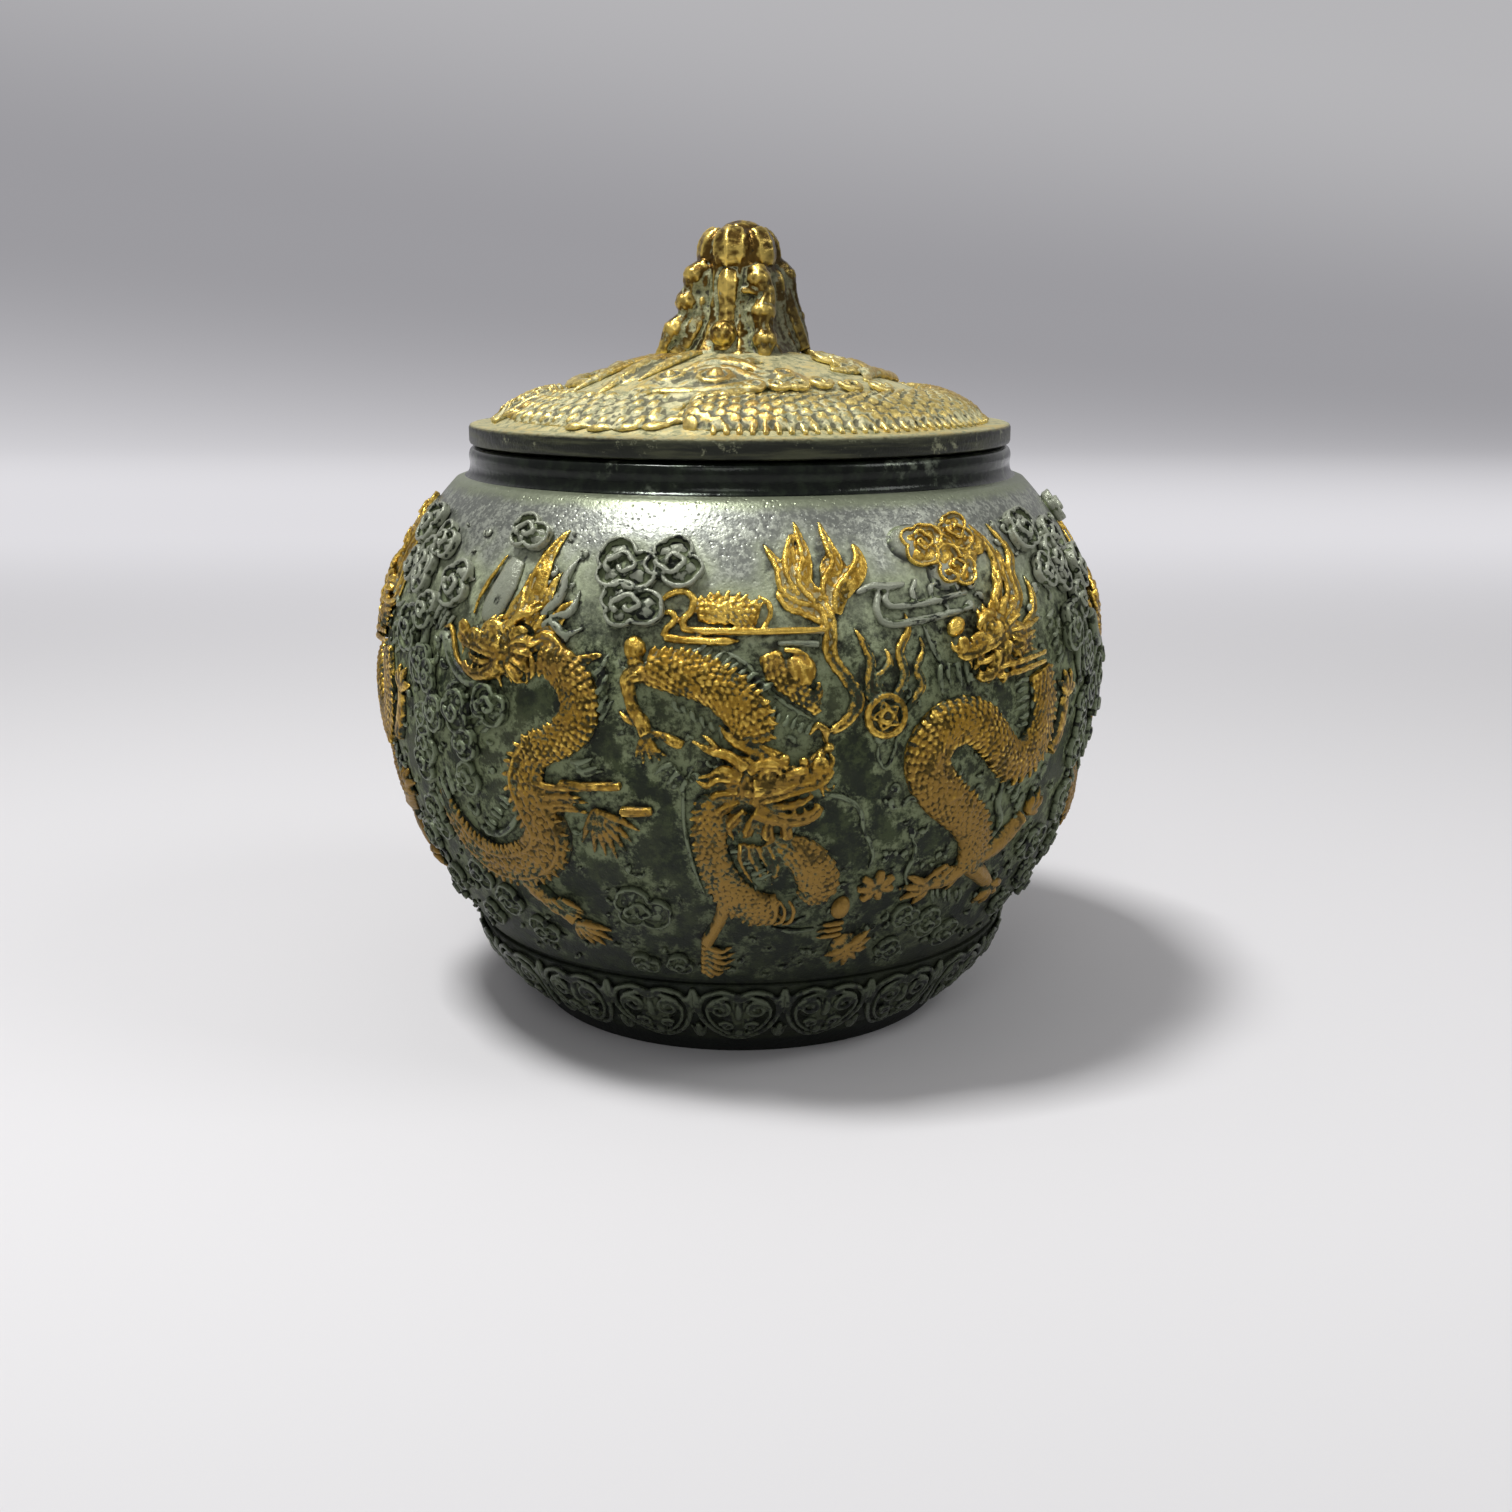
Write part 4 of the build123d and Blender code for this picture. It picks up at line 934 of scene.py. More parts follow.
def add_head(wax, place, turn, size, depth, flip=1, locks=7):
    """A head whose eye is at the place; turn is counter-clockwise, and a flip of -1 mirrors it."""
    lift = 0.9
    origin = wax.place(*place)
    c, s = cos(radians(turn)), sin(radians(turn))

    def put(x, y, z):
        x = x * flip * size
        y = y * size
        return [origin[0] + c * x - s * y, origin[1] + s * x + c * y, lift + z * size * depth]

    def rope(*rows, flatness=1.0):
        line = smooth_line([[*put(x, y, z), radius * size] for x, y, z, radius in rows], 0.4)
        wax.rope(line, flatness)
        return line

    def ball(x, y, z, sx, sy, sz):
        wax.lump(put(x, y, z), (sx * size, sy * size, sz * size * depth), turn)

    # Skull and upper jaw, with the folds along the snout.
    ball(-4.0, -2.2, 0.0, 4.6, 4.2, 2.0)
    ball(-2.2, -3.6, 1.2, 2.0, 1.8, 1.4)
    rope((-3, -1.5, 0.2, 2.4), (2.5, -2.0, 0.4, 2.0), (6.5, -1.6, 0.6, 1.6), (9.0, -0.9, 0.8, 1.4))
    rope((-1.5, -3.0, 1.9, 0.8), (1.5, -2.6, 2.4, 0.9), (4.0, -2.2, 2.2, 0.7), (6.6, -1.9, 2.2, 0.8),
         (8.4, -1.6, 2.0, 0.5))
    for x, y in ((2.6, -1.2), (4.4, -1.0), (6.2, -0.9)):
        rope((x, y - 0.7, 2.3, 0.4), (x + 0.5, y + 0.3, 2.6, 0.5), (x + 0.2, y + 1.2, 2.2, 0.3))
    # Nose, with its wing and the curl at its tip, and the upper lip.
    ball(9.4, 0.2, 1.9, 1.9, 1.7, 1.5)
    rope((8.0, 0.4, 2.6, 0.5), (8.6, 1.7, 2.9, 0.6), (10.0, 1.6, 2.9, 0.6), (10.2, 0.4, 3.0, 0.5))
    rope((10.9, -0.2, 1.8, 0.6), (11.6, 1.2, 1.4, 0.5), (11.0, 2.6, 1.0, 0.2))
    rope((3.0, -0.2, 2.4, 0.7), (5.0, 0.3, 2.6, 0.8), (7.0, 0.3, 2.6, 0.6))
    rope((-3.5, -4.6, 1.2, 0.7), (0.5, -4.2, 2.0, 0.75), (4.5, -3.6, 2.1, 0.7), (8.2, -3.0, 2.0, 0.7),
         (10.4, -2.0, 1.9, 0.65), (11.4, -0.8, 1.6, 0.5))
    # Upper fangs, lower jaw with its lip and fangs, and the tongue.
    for x, reach in ((9.0, 2.2), (6.6, 1.3), (4.6, 1.3), (2.6, 1.1)):
        rope((x, -3.4, 1.6, 0.55), (x + 0.3, -3.6 - reach, 1.2, 0.12))
    rope((-3.5, -6.0, 0.2, 2.2), (0.5, -8.6, 0.4, 1.6), (4.5, -9.6, 0.6, 1.3), (7.4, -8.8, 0.8, 1.1),
         (8.6, -7.6, 0.9, 0.8))
    rope((-1.5, -6.2, 1.6, 0.5), (2.0, -8.0, 1.9, 0.5), (5.5, -8.5, 1.9, 0.5), (8.4, -7.0, 1.8, 0.5))
    for x, y in ((7.6, -7.6), (5.6, -8.0), (3.6, -7.7)):
        rope((x, y, 1.7, 0.45), (x - 0.2, y + 1.3, 1.4, 0.1))
    rope((-1, -6.0, 0.4, 0.9), (2.5, -6.3, 0.9, 0.9), (5.5, -5.9, 1.2, 0.7), (7.5, -5.0, 1.3, 0.3))
    # Eye with its lids, and a brow with three tufts.
    ball(0.0, 0.0, 2.3, 1.25, 1.1, 1.1)
    rope((-1.9, -0.4, 2.0, 0.5), (-0.8, 1.3, 2.4, 0.6), (1.0, 1.4, 2.4, 0.6), (2.2, 0.2, 2.2, 0.5))
    rope((-1.8, -0.8, 1.9, 0.4), (0.0, -1.6, 2.2, 0.5), (2.0, -0.8, 2.0, 0.4))
    rope((-3.4, 1.2, 1.6, 0.8), (-1.2, 2.7, 2.1, 1.0), (1.6, 2.5, 2.2, 0.9), (3.4, 1.2, 2.1, 0.5))
    for x, y, tx, ty in ((1.2, 3.0, 0.2, 5.0), (-0.6, 3.3, -2.0, 5.2), (-2.4, 2.6, -4.4, 4.4)):
        rope((x, y, 1.6, 0.7), ((x + tx) / 2 + 0.3, (y + ty) / 2, 1.6, 0.55), (tx, ty, 1.0, 0.12))
    # A branched horn and an ear.
    rope((-4.0, 2.2, 1.4, 1.1), (-6.6, 5.0, 1.9, 1.0), (-9.6, 6.2, 1.8, 0.8), (-12.6, 8.4, 1.2, 0.3))
    rope((-8.4, 5.8, 1.8, 0.7), (-9.4, 8.0, 1.4, 0.5), (-11.0, 9.4, 0.9, 0.15))
    rope((-5.2, 0.4, 1.4, 1.2), (-7.8, 2.2, 1.8, 1.2), (-10.0, 2.2, 1.4, 0.3), flatness=0.7)
    # Locks of the mane, each with a raised strand, and the knobs on the cheek.
    mane = (
        ((-5.5, -0.6), (-9.0, 0.4), (-12.0, -0.8), (-15.0, 1.0)),
        ((-6.0, -2.4), (-9.5, -2.2), (-12.0, -3.8), (-15.0, -2.8)),
        ((-6.0, -4.2), (-9.0, -5.0), (-11.0, -7.0), (-14.0, -6.8)),
        ((-5.2, -5.8), (-7.6, -7.6), (-9.0, -10.0), (-12.0, -10.6)),
        ((-3.6, -7.0), (-5.2, -9.8), (-5.8, -12.4), (-8.4, -14.2)),
        ((-1.2, -8.4), (-1.8, -11.0), (-1.2, -13.4), (-3.0, -15.6)),
        ((1.8, -9.8), (1.8, -12.0), (2.8, -14.0), (1.6, -16.0)),
    )
    for number, (a, b, d, e) in enumerate(mane[:locks]):
        height = 0.9 + 0.25 * (number % 2)
        short = 0.55 + 0.18 * cos(2.6 * number)
        d, e = [tuple(np.array(b) + (np.array(p) - np.array(b)) * short) for p in (d, e)]
        line = rope((*a, height, 0.9), (*b, height, 1.3), (*d, height - 0.3, 0.8), (*e, 0.3, 0.1), flatness=0.7)
        strand = shifted(line, 0.35)
        strand[:, 2] += line[:, 3] * 0.75
        strand[:, 3] = line[:, 3] * 0.4
        wax.rope(strand)
    for x, y in ((-3.0, -1.0), (-4.2, -2.6), (-3.2, -4.4), (-1.2, -1.9), (0.6, -3.0)):
        ball(x, y, 2.3, 0.8, 0.7, 0.55)

# %% [markdown]
# ## The diving dragon
#
# The dragon over the front comes head down. Its tail ends in a flame at the shoulder, its body dips under
# a pair of gilt bars and comes back to a wide-open head at mid height, and below the head the neck, the
# belly plates, a haunch and three feet fill the wall down to the groove.

# %% Diving dragon: tail, bars and body
wax = Wax(wall_sheet)
add_body(wax, [(-5.6, 109.2, 0.7), (-3, 109.6, 1), (0, 109.3, 1), (3, 108.2, 0.7)], 6.4, 1.55, -1, 1.4)
wax.stroke([(3, 112.4, 0.5), (4.5, 110.6, 1), (4.6, 108.2, 1), (3.6, 106.2, 0.8)], 1.3, 1.6)
wax.stroke([(1.2, 111.6, 0.7), (2.6, 110.2, 1), (2.2, 108.8, 0.6)], 1.1, 2.4)
add_body(wax, [(-12.2, 98.2, 0.8), (-9, 97.6, 0.95), (-5, 96.3, 1), (-1.5, 93.6, 1.02), (1, 90, 1.02),
               (2.2, 86.4, 0.95), (2.4, 83.5, 0.7)], 9.6, 1.55, -1, 1)
add_body(wax, [(4.4, 101.2, 0.8), (5.4, 97.6, 1), (7.6, 94.4, 0.9), (9.8, 91.4, 0.7), (11, 88.8, 0.3)], 5.6, 1.45)
wax.dab((8.6, 97.6), 0.4, (3.6, 3.8, 2), 20)
wax.stroke([(6.4, 101.8, 0.8), (8.2, 101.4, 1), (9.8, 100.4, 0.6)], 1.3, 1.8)
wax.stroke([(10.9, 95.2, 0.8), (11.1, 93.2, 1), (10.9, 90.8, 0.4)], 1.7, 1)
wax.stroke([(-7.4, 105.7, 0.9), (0, 105.4, 1), (12.3, 105.4, 0.95)], 1.7, 1.1)
wax.stroke([(-10, 104, 1), (-6, 103.6, 1), (-1.6, 103.5, 0.95), (0.6, 103.7, 0.2)], 1.8, 0.9)
wax.stroke([(-11.2, 110.6, 0.3), (-9.6, 112.4, 0.9), (-7.6, 113, 1), (-6.2, 111.6, 1), (-6.4, 109.2, 1),
            (-7.5, 107.4, 1), (-7.3, 105.7, 0.9)], 1.7, 1.2)
wax.stroke([(-10.8, 108.8, 0.4), (-9.2, 108.9, 1), (-8.6, 107.4, 1), (-9.8, 105.8, 1), (-10.2, 104.2, 1)], 1.5, 1.1)
wax.dab((-14.2, 101.7), 0.4, (2.5, 2.9, 2), 10)
wax.dab((-13.9, 98.9), 0.6, (1.9, 1.2, 1.7))
for x, y, wide, tall in (
    (9.4, 117, 3.4, 6.4), (14.6, 116, 3.8, 6.4), (12.6, 110.4, 2.8, 4.6), (8.6, 112.6, 2.8, 3.4),
):
    wax.dab((x, y), -0.2, (wide, tall, 1))
for tongue, girth in (
    (((12.4, 108, 0.5), (11.4, 111.5, 0.9), (9.7, 115, 1), (10.3, 119.5, 0.8), (9.2, 126.6, 0.1)), 3.8),
    (((13.3, 109.5, 0.5), (13.1, 114, 0.9), (14.9, 118, 0.9), (14.3, 121.5, 0.7), (13.3, 126.4, 0.1)), 3.6),
    (((14.2, 108.5, 0.4), (15.2, 112.6, 0.9), (17.9, 116.2, 1), (18.8, 119, 0.6), (18.4, 122, 0.1)), 4.8),
    (((11.6, 110.4, 0.6), (8.8, 111.6, 0.9), (6.8, 114, 1), (6.1, 118, 0.8), (4, 122.4, 0.1)), 2.9),
    (((9.2, 112.5, 0.5), (7.9, 116, 0.9), (7.8, 120, 0.8), (8.6, 124, 0.2)), 3.4),
    (((12.6, 106.8, 0.5), (9.7, 109.2, 0.9), (7.2, 110.6, 0.8), (5.6, 113.6, 0.1)), 3.2),
):
    add_tongue(wax, tongue, girth)
for shift in (-0.5, 0.6):
    wax.stroke([(11.6 + shift, 112, 0.4), (12.6 + shift, 108.6, 1), (12.9 + shift, 105, 1), (12.7 + shift, 101.6, 1),
                (13.4 + shift, 98.8, 0.9), (15 + shift, 95.6, 0.9), (16.3 + shift, 92.4, 0.9),
                (16.1 + shift, 89.4, 0.9), (14.6 + shift, 86.6, 0.8), (12.4 + shift, 84.4, 0.5)], 1.7, 0.9)

# %% Diving dragon: the feet of its upper half
wax.stroke([(-11.2, 96.6, 0.8), (-13.4, 96.8, 1), (-14.8, 95.4, 0.95), (-14.7, 92.4, 0.7), (-14, 89.4, 0.7),
            (-12.9, 86.8, 0.8), (-12.2, 84.6, 0.9)], 4.2, 0.3)
for tip in ((-13.9, 79.2), (-12.9, 77.8), (-11.6, 78), (-10.5, 78.8), (-9.6, 79.8)):
    wax.stroke([(-12.3, 85.4, 0.8), ((tip[0] - 12.3) / 2 - 0.2, 81.8, 1), (*tip, 0.35)], 1.25, 1.4)
wax.stroke([(-11.6, 85, 0.8), (-9.8, 84, 0.9), (-8.2, 83, 1.1), (-7.3, 82.3, 0.8)], 2.2, 0.7)
wax.stroke([(-16.4, 89, 0.2), (-15.2, 87.6, 0.9), (-13.8, 86.4, 0.8)], 1.6, 0.8)

# %% Diving dragon: head
add_head(wax, (4.3, 76.3), 8, 1.14, 0.6)
for horn, girth in (
    (((-2.4, 86.6, 0.3), (-0.8, 84.2, 0.9), (1.4, 82.2, 1), (3.2, 80.6, 0.9)), 2.3),
    (((2, 83.8, 0.6), (3.6, 81.9, 1), (5, 81, 0.9), (6.6, 80, 0.5)), 2),
    (((-3.7, 84.2, 0.3), (-2.2, 81.4, 0.9), (0.2, 79.6, 1), (2.6, 78.8, 0.8)), 2),
    (((3.4, 86.6, 0.2), (3.4, 84.6, 0.8), (2.2, 82.6, 0.7)), 1.5),
):
    wax.stroke(horn, girth, 1.3)
for x, y, size in ((6.3, 79.8, 1.25), (8.9, 79.2, 1.1), (12.3, 82, 1.1), (11.2, 80.4, 0.9), (5, 78.2, 0.8),
                   (7.4, 78, 0.8)):
    wax.dab((x, y), 2, (size, size, size * 0.9))
wax.stroke([(8.2, 76.8, 0.8), (9.6, 78.4, 1), (11, 80.2, 1), (12.4, 82.4, 0.7)], 2.1, 1.2)
wax.stroke([(9.8, 84.4, 0.4), (10.9, 86.4, 0.9), (11.9, 85.2, 0.9), (12, 83, 0.7)], 1.9, 0.9)
add_curl(wax, (12.9, 73.6), 1.9, 90, 1, 0.8, 0.9, 1)
add_strands(wax, ((0.8, 77.6), (-0.4, 71)), ((-5.6, 76.4), (-5.4, 70.6)), 7, 1.35, 1.8, 0.4)
add_strands(wax, ((-1.4, 67.6), (4.2, 67.4)), ((-1.2, 61.6), (3.6, 61.2)), 6, 1.2, 1.6, 0.5)

# %% Diving dragon: neck, belly, haunch and feet
add_body(wax, [(-3.4, 70.6, 0.8), (-3.9, 66, 0.86), (-3.8, 61, 0.86), (-3.1, 56, 0.9), (-1.7, 51, 1),
               (0.4, 47.2, 1.1), (3.2, 45.2, 1.05), (6.2, 45.6, 0.75)], 8.4, 1.55, 1, 0.8)
for number in range(5):
    x = 1.6 + number * 1.35
    wax.stroke([(x, 40.9, 0.6), (x + 1.2, 42.6, 1), (x + 1.5, 45.2, 1), (x + 0.7, 47.4, 0.7)], 1, 4.2)
add_strands(wax, ((0, 61.4), (6, 60.4)), ((1.6, 50.6), (6.6, 50.2)), 8, 1.2, 1.2, 0.8)
add_body(wax, [(4.4, 61.4, 0.35), (6.6, 60.2, 0.7), (9.4, 57.6, 0.98), (11.5, 53.6, 1.12), (12.1, 49.8, 1.05),
               (10.2, 46.8, 0.55)], 9, 1.55)
wax.dab((16.3, 44), 0.5, (2.3, 3.4, 2.1), -12)
for height in (39.6, 38, 36.4):
    wax.stroke([(13, height - 0.4, 0.4), (15, height, 1), (17.4, height + 0.3, 0.9)], 1.3, 1)
wax.dab((18.6, 33), 0.2, (4.4, 4.6, 1.7), -20)
tips = ((22.8, 37), (23.4, 34.4), (23.2, 31.6), (21.6, 28.6), (19.4, 27), (16.8, 28.2), (15.4, 30.6))
add_toes(wax, (18.2, 33.6), tips, (0, 0.5), 0.9, 0.25, 2, 1.7)
wax.stroke([(-1.9, 46.6, 1), (-2.6, 42.6, 0.85), (-3.9, 39, 0.85), (-5.3, 35.6, 0.9)], 3.9, 0.3)
for number, (x, y) in enumerate(((-0.9, 34.2), (-0.4, 32.4), (-0.5, 30.4), (-1.2, 28.2), (-2.6, 26.6), (-4.4, 26.2))):
    root = (-5.4 - 0.1 * number, 34.8 - 1.35 * number)
    middle = ((root[0] + x) / 2 + 0.2, (root[1] + y) / 2 - 1.1)
    wax.stroke([(*root, 1), (*middle, 1), (x, y, 0.25)], 1.5, 1.2)
    wax.dab((root[0] - 0.3, root[1] - 0.3), 1, (0.95, 0.95, 0.9))
tips = ((19.2, 51), (18.6, 48.2), (19.6, 45.4), (22.2, 52.2), (24.4, 50.4), (24.6, 47.6), (22.4, 45.4))
add_toes(wax, (21.6, 48.6), tips, (0, 0), 0.6, 0.75, 2.4, 0.6)
cast_round(wax, "diving_dragon", gilt, voxel=0.3, most=112000)

# %% [markdown]
# ## The climbing dragon
#
# To the left a second dragon climbs: its head lies under a cloud, its neck bends over its chest, and its
# body sweeps down and back up to a tail, with one paw stretched towards the middle.

# %% Climbing dragon
wax = Wax(wall_sheet)
add_body(wax, [(-28.5, 98.6, 0.8), (-25.2, 97.6, 0.95), (-22.6, 94.2, 1), (-21.6, 89.2, 1), (-22.8, 84.4, 1),
               (-26.4, 80.6, 0.95), (-30.6, 78, 0.9)], 8, 1.5, 1, 1.1)
belly = wax.stroke([(-26.4, 81.4, 0.5), (-30, 77.6, 1), (-31.6, 72, 1.2), (-30.4, 66, 1.3), (-28.8, 60, 1.35),
                    (-30.4, 54.8, 1.35), (-35.4, 51, 1.3), (-41.4, 50.4, 1.15), (-46.4, 53.6, 0.95), (-49.8, 59, 0.7),
                    (-51.6, 64.6, 0.3)], 8.4, 0, 0.44)
add_fins(wax, belly, 1, 1.9, 1.2, 1.1)
add_fins(wax, belly, -1, 1.9, 0.8, 0.9)
for share, girth in ((-0.55, 0.5), (0.1, 0.4), (0.6, 0.5)):
    rib = shifted(belly, share)
    rib[:, 2] += belly[:, 3] * 0.40
    rib[:, 3] = girth
    wax.rope(rib)
add_scales(wax, belly, 2, 0.44, 60, 0.9)
add_head(wax, (-36.6, 101.8), -2, 0.94, 0.66, flip=-1, locks=4)
for tongue, girth in (
    (((-32.6, 105.6, 0.6), (-31.2, 110, 0.9), (-30.8, 115, 1), (-30.2, 119, 0.6), (-28.3, 124, 0.1)), 5.2),
    (((-34, 104, 0.6), (-32.6, 108, 0.9), (-31.6, 112, 0.9), (-31.4, 116, 0.5), (-31.8, 120, 0.1)), 3.4),
    (((-29.6, 103, 0.7), (-27, 105.4, 1), (-25.6, 108.4, 0.7), (-23.4, 110.4, 0.1)), 3.6),
    (((-30.6, 105, 0.6), (-28.8, 109, 0.8), (-28.2, 113, 0.5), (-27.4, 116, 0.1)), 2.8),
    (((-35.4, 105, 0.7), (-34.2, 108.4, 0.9), (-32.8, 111.6, 0.8), (-32.6, 116, 0.1)), 2.8),
    (((-30.8, 100.6, 0.7), (-27.8, 102.2, 1), (-25.6, 100.2, 1), (-23.4, 98.2, 0.7), (-19, 100.2, 0.1)), 4.4),
):
    add_tongue(wax, tongue, girth)
add_strands(wax, ((-36.6, 98.6), (-28.6, 98.4)), ((-35.4, 91), (-29.6, 92.6)), 7, 1.3, 1.5, 0.6)
add_strands(wax, ((-33, 106), (-29.4, 104)), ((-33.6, 113), (-26.4, 107.6)), 5, 1.3, 1.6, 0.5)
wax.stroke([(-38.7, 118.4, 0.4), (-40.2, 113.4, 1), (-41.8, 109, 0.8), (-42.4, 105.6, 0.5)], 1.1, 1.4)
wax.stroke([(-48.8, 101.6, 0.5), (-46.6, 102.2, 0.9), (-45.2, 99, 1), (-43.6, 95.2, 1), (-40.6, 93.4, 0.9),
            (-38, 95, 0.4)], 1.3, 1.6)
wax.stroke([(-25.6, 72.2, 0.9), (-20.6, 72.4, 1), (-16.2, 72.9, 0.95)], 2.1, 0.9)
add_strands(wax, ((-31, 73), (-29.4, 66)), ((-20.6, 71.6), (-20.8, 65.4)), 6, 1.5, 1.7, 0.4)
tips = ((-23.4, 58.8), (-21.6, 56.6), (-19.8, 56), (-18, 55.6), (-16.4, 57.4), (-15.2, 59.8), (-14, 62.8))
add_toes(wax, (-20.6, 67), tips, (0.3, 0.6), 0.8, 0.3, 1.7, 1.1)
wax.stroke([(-16.4, 67.4, 1), (-14, 67.5, 1), (-11.9, 67.8, 0.8)], 2.4, 0.8)
wax.stroke([(-36, 49, 0.9), (-33.4, 44.6, 1), (-30.4, 41, 0.8), (-28, 38.6, 0.9)], 5.4, 0.2, 0.8)
add_strands(wax, ((-33.4, 43.4), (-28, 45)), ((-27.4, 36.4), (-24.6, 40)), 5, 1.4, 1.6, 0.4)
tips = ((-28.6, 32.6), (-26.4, 31.4), (-24.2, 31.8), (-22.2, 33.6), (-21.8, 36.4))
add_toes(wax, (-27.4, 38.4), tips, (0, 0.5), 0.9, 0.3, 1.9, 1.1)
cast_round(wax, "climbing_dragon", gilt, voxel=0.3, most=96000)

# %% [markdown]
# ## The coiling dragon
#
# The third dragon hangs to the right. Its head bites downward under a gilt cloud, its body drops behind
# two rods, swings up again and ends in spread feet near the groove.

# %% Coiling dragon
wax = Wax(wall_sheet)
add_body(wax, [(49.4, 92.4, 0.8), (50.4, 87, 0.9), (50.2, 80.6, 1), (47.8, 75, 1.02), (43.8, 73.4, 1),
               (40.4, 77.4, 0.98), (37.2, 82.4, 1), (33.4, 85.2, 1.02), (29.4, 83.8, 1.05), (27, 79, 1.05),
               (27.6, 73.4, 1.05), (30.4, 68.4, 1.05), (34.2, 64, 1), (37.4, 59, 0.95), (38.8, 54, 0.9),
               (38.6, 49.6, 0.8)], 9.8, 1.55, -1, 1)
add_head(wax, (38.2, 103.4), 24, 0.95, 0.66, flip=-1)
for tongue, girth in (
    (((41, 106, 0.6), (42.8, 111, 0.9), (44.2, 116, 0.9), (43.6, 120.5, 0.7), (41, 125, 0.1)), 3.4),
    (((44, 104, 0.6), (47, 108.5, 0.9), (47, 113.5, 0.9), (48.6, 118, 0.7), (46.4, 124, 0.1)), 3.6),
    (((42.6, 104.6, 0.6), (45.2, 110, 0.8), (45.6, 115, 0.8), (46.2, 119, 0.1)), 2.8),
    (((46, 101.6, 0.6), (49.6, 104.4, 0.9), (51, 108.8, 0.7), (50.6, 112.6, 0.1)), 3),
):
    add_tongue(wax, tongue, girth)
wax.dab((32.6, 104.2), 1, (2.6, 2, 1.6), 40)
for fang, girth in ((((36.6, 99.4, 1), (36, 97, 0.9), (35, 94.4, 0.3)), 2.2),
                    (((39.4, 98.4, 1), (38.6, 95.6, 1), (37.4, 92, 0.5)), 2.8),
                    (((42, 99.4, 1), (40.6, 97, 0.8), (39.8, 95, 0.3)), 1.8)):
    wax.stroke(fang, girth, 1)
add_strands(wax, ((44, 103), (42.6, 96.6)), ((51, 103.6), (49.4, 96)), 6, 1.4, 1.8, 0.5)
for height in (93, 94.9):
    wax.stroke([(38.8, height, 0.8), (44, height + 0.5, 1), (50.2, height + 1.2, 0.8)], 1.35, 4)
wax.dab((31.2, 68.8), 2.6, (3.2, 1.2, 1), 8)
for start, middle, end, girth in (
    ((38.8, 50.6), (34.6, 47.6), (31, 47), 4.6), ((39.2, 51), (44.2, 53.4), (49.6, 58.4), 5.4),
    ((38.8, 50), (42.4, 46.6), (46, 43), 5), ((53.6, 73), (56.2, 78), (57.6, 84), 4.4),
):
    wax.stroke([(*start, 1), (*middle, 1), (*end, 0.8)], girth, 0.2, 0.8)
for palm, tips in (
    ((31, 46.8), ((26.8, 49.8), (26, 46.8), (26.8, 43.8), (29.4, 42))),
    ((46.6, 42.4), ((44.6, 37.6), (47.4, 36.6), (50.2, 38.2), (51, 41.6))),
    ((50.4, 59.4), ((50.6, 64.6), (53.4, 64.4), (55.4, 61.4), (54.4, 58))),
    ((57.8, 84.8), ((55, 88.6), (57.2, 90.8), (59.8, 90.2), (61.4, 86.6))),
):
    add_toes(wax, palm, tips, (0, 0.4), 0.9, 0.3, 2.2, 0.9)
add_strands(wax, ((33, 52), (38, 49)), ((29, 47.6), (35.6, 43)), 6, 1.3, 1.3, 0.4)
for place, radius, turn, hand in (((30, 121), 5.8, 10, -1), ((37.6, 122.8), 5.2, 40, 1), ((35, 116), 5.4, 80, 1)):
    add_cloud(wax, place, radius, turn, hand, 5, 0.86, 1.5, 0.7)
for x, y in ((31, 118.6), (34.6, 120.6), (38.6, 118), (41.4, 120)):
    wax.dab((x, y), -0.2, (3.4, 3, 1.7))
cast_round(wax, "coiling_dragon", gilt, voxel=0.3, most=96000)

# %% [markdown]
# ## The flaming pearl
#
# Between the diving and the coiling dragon hangs the pearl that they chase: a disc in a ring, with a star
# round its middle and four tongues of flame over it. On the real jar it is pressed in the wax with a
# stamp and its flames are added by hand, so here it is a lump, two rings, a zigzag and four tongues.

# %% Flaming pearl
wax = Wax(wall_sheet)
x, y, _ = wax.place(20.5, 87.6)
wax.lump((x, y, 0.1), (3.7, 3.7, 1.2))
for reach, radius, lift in ((4.1, 0.8, 1.2), (1.35, 0.5, 1.5)):
    add_ring(wax, x, y, reach, reach, radius, lift, 33)
star = []
for point in range(11):
    reach = 3.1 if point % 2 else 1.9
    turn = pi / 5 * point
    star.append([x + reach * cos(turn), y + reach * sin(turn), 1.35, 0.45])
wax.rope(np.array(star))
for tongue in (
    ((18.9, 91, 0.8), (18.2, 94, 0.9), (18.6, 98.5, 0.9), (17.8, 102.4, 0.6), (16.6, 105.6, 0.1)),
    ((20.2, 92, 0.8), (19.4, 95, 0.8), (21.4, 98, 0.7), (21, 101.5, 0.1)),
    ((22, 91.2, 0.8), (23.6, 95.5, 0.9), (23, 100.5, 0.9), (24.8, 104.5, 0.6), (24.6, 108.2, 0.1)),
    ((23.8, 88.4, 0.6), (26.2, 93, 0.8), (25.6, 96.6, 0.8), (26.8, 100, 0.5), (26.6, 103.4, 0.1)),
):
    add_tongue(wax, tongue, 2, flatness=0.7)
wax.stroke([(17.2, 93, 0.4), (18.2, 91.6, 1), (19.6, 91.8, 0.9)], 1.2, 1.2)
cast_round(wax, "flaming_pearl", gilt, voxel=0.25, most=16000)

# %% [markdown]
# ## Clouds and the green carving between the dragons
#
# Clouds fill the shoulder and the foot of the wall. They are plates with a wavy rim and a curl inside, and
# they stay green, as do the whiskers, the fringes of fins and a key-shaped bank of cloud. Small commas of
# wax are scattered over the ground, from a seeded row of random numbers, so that each run gives the same.

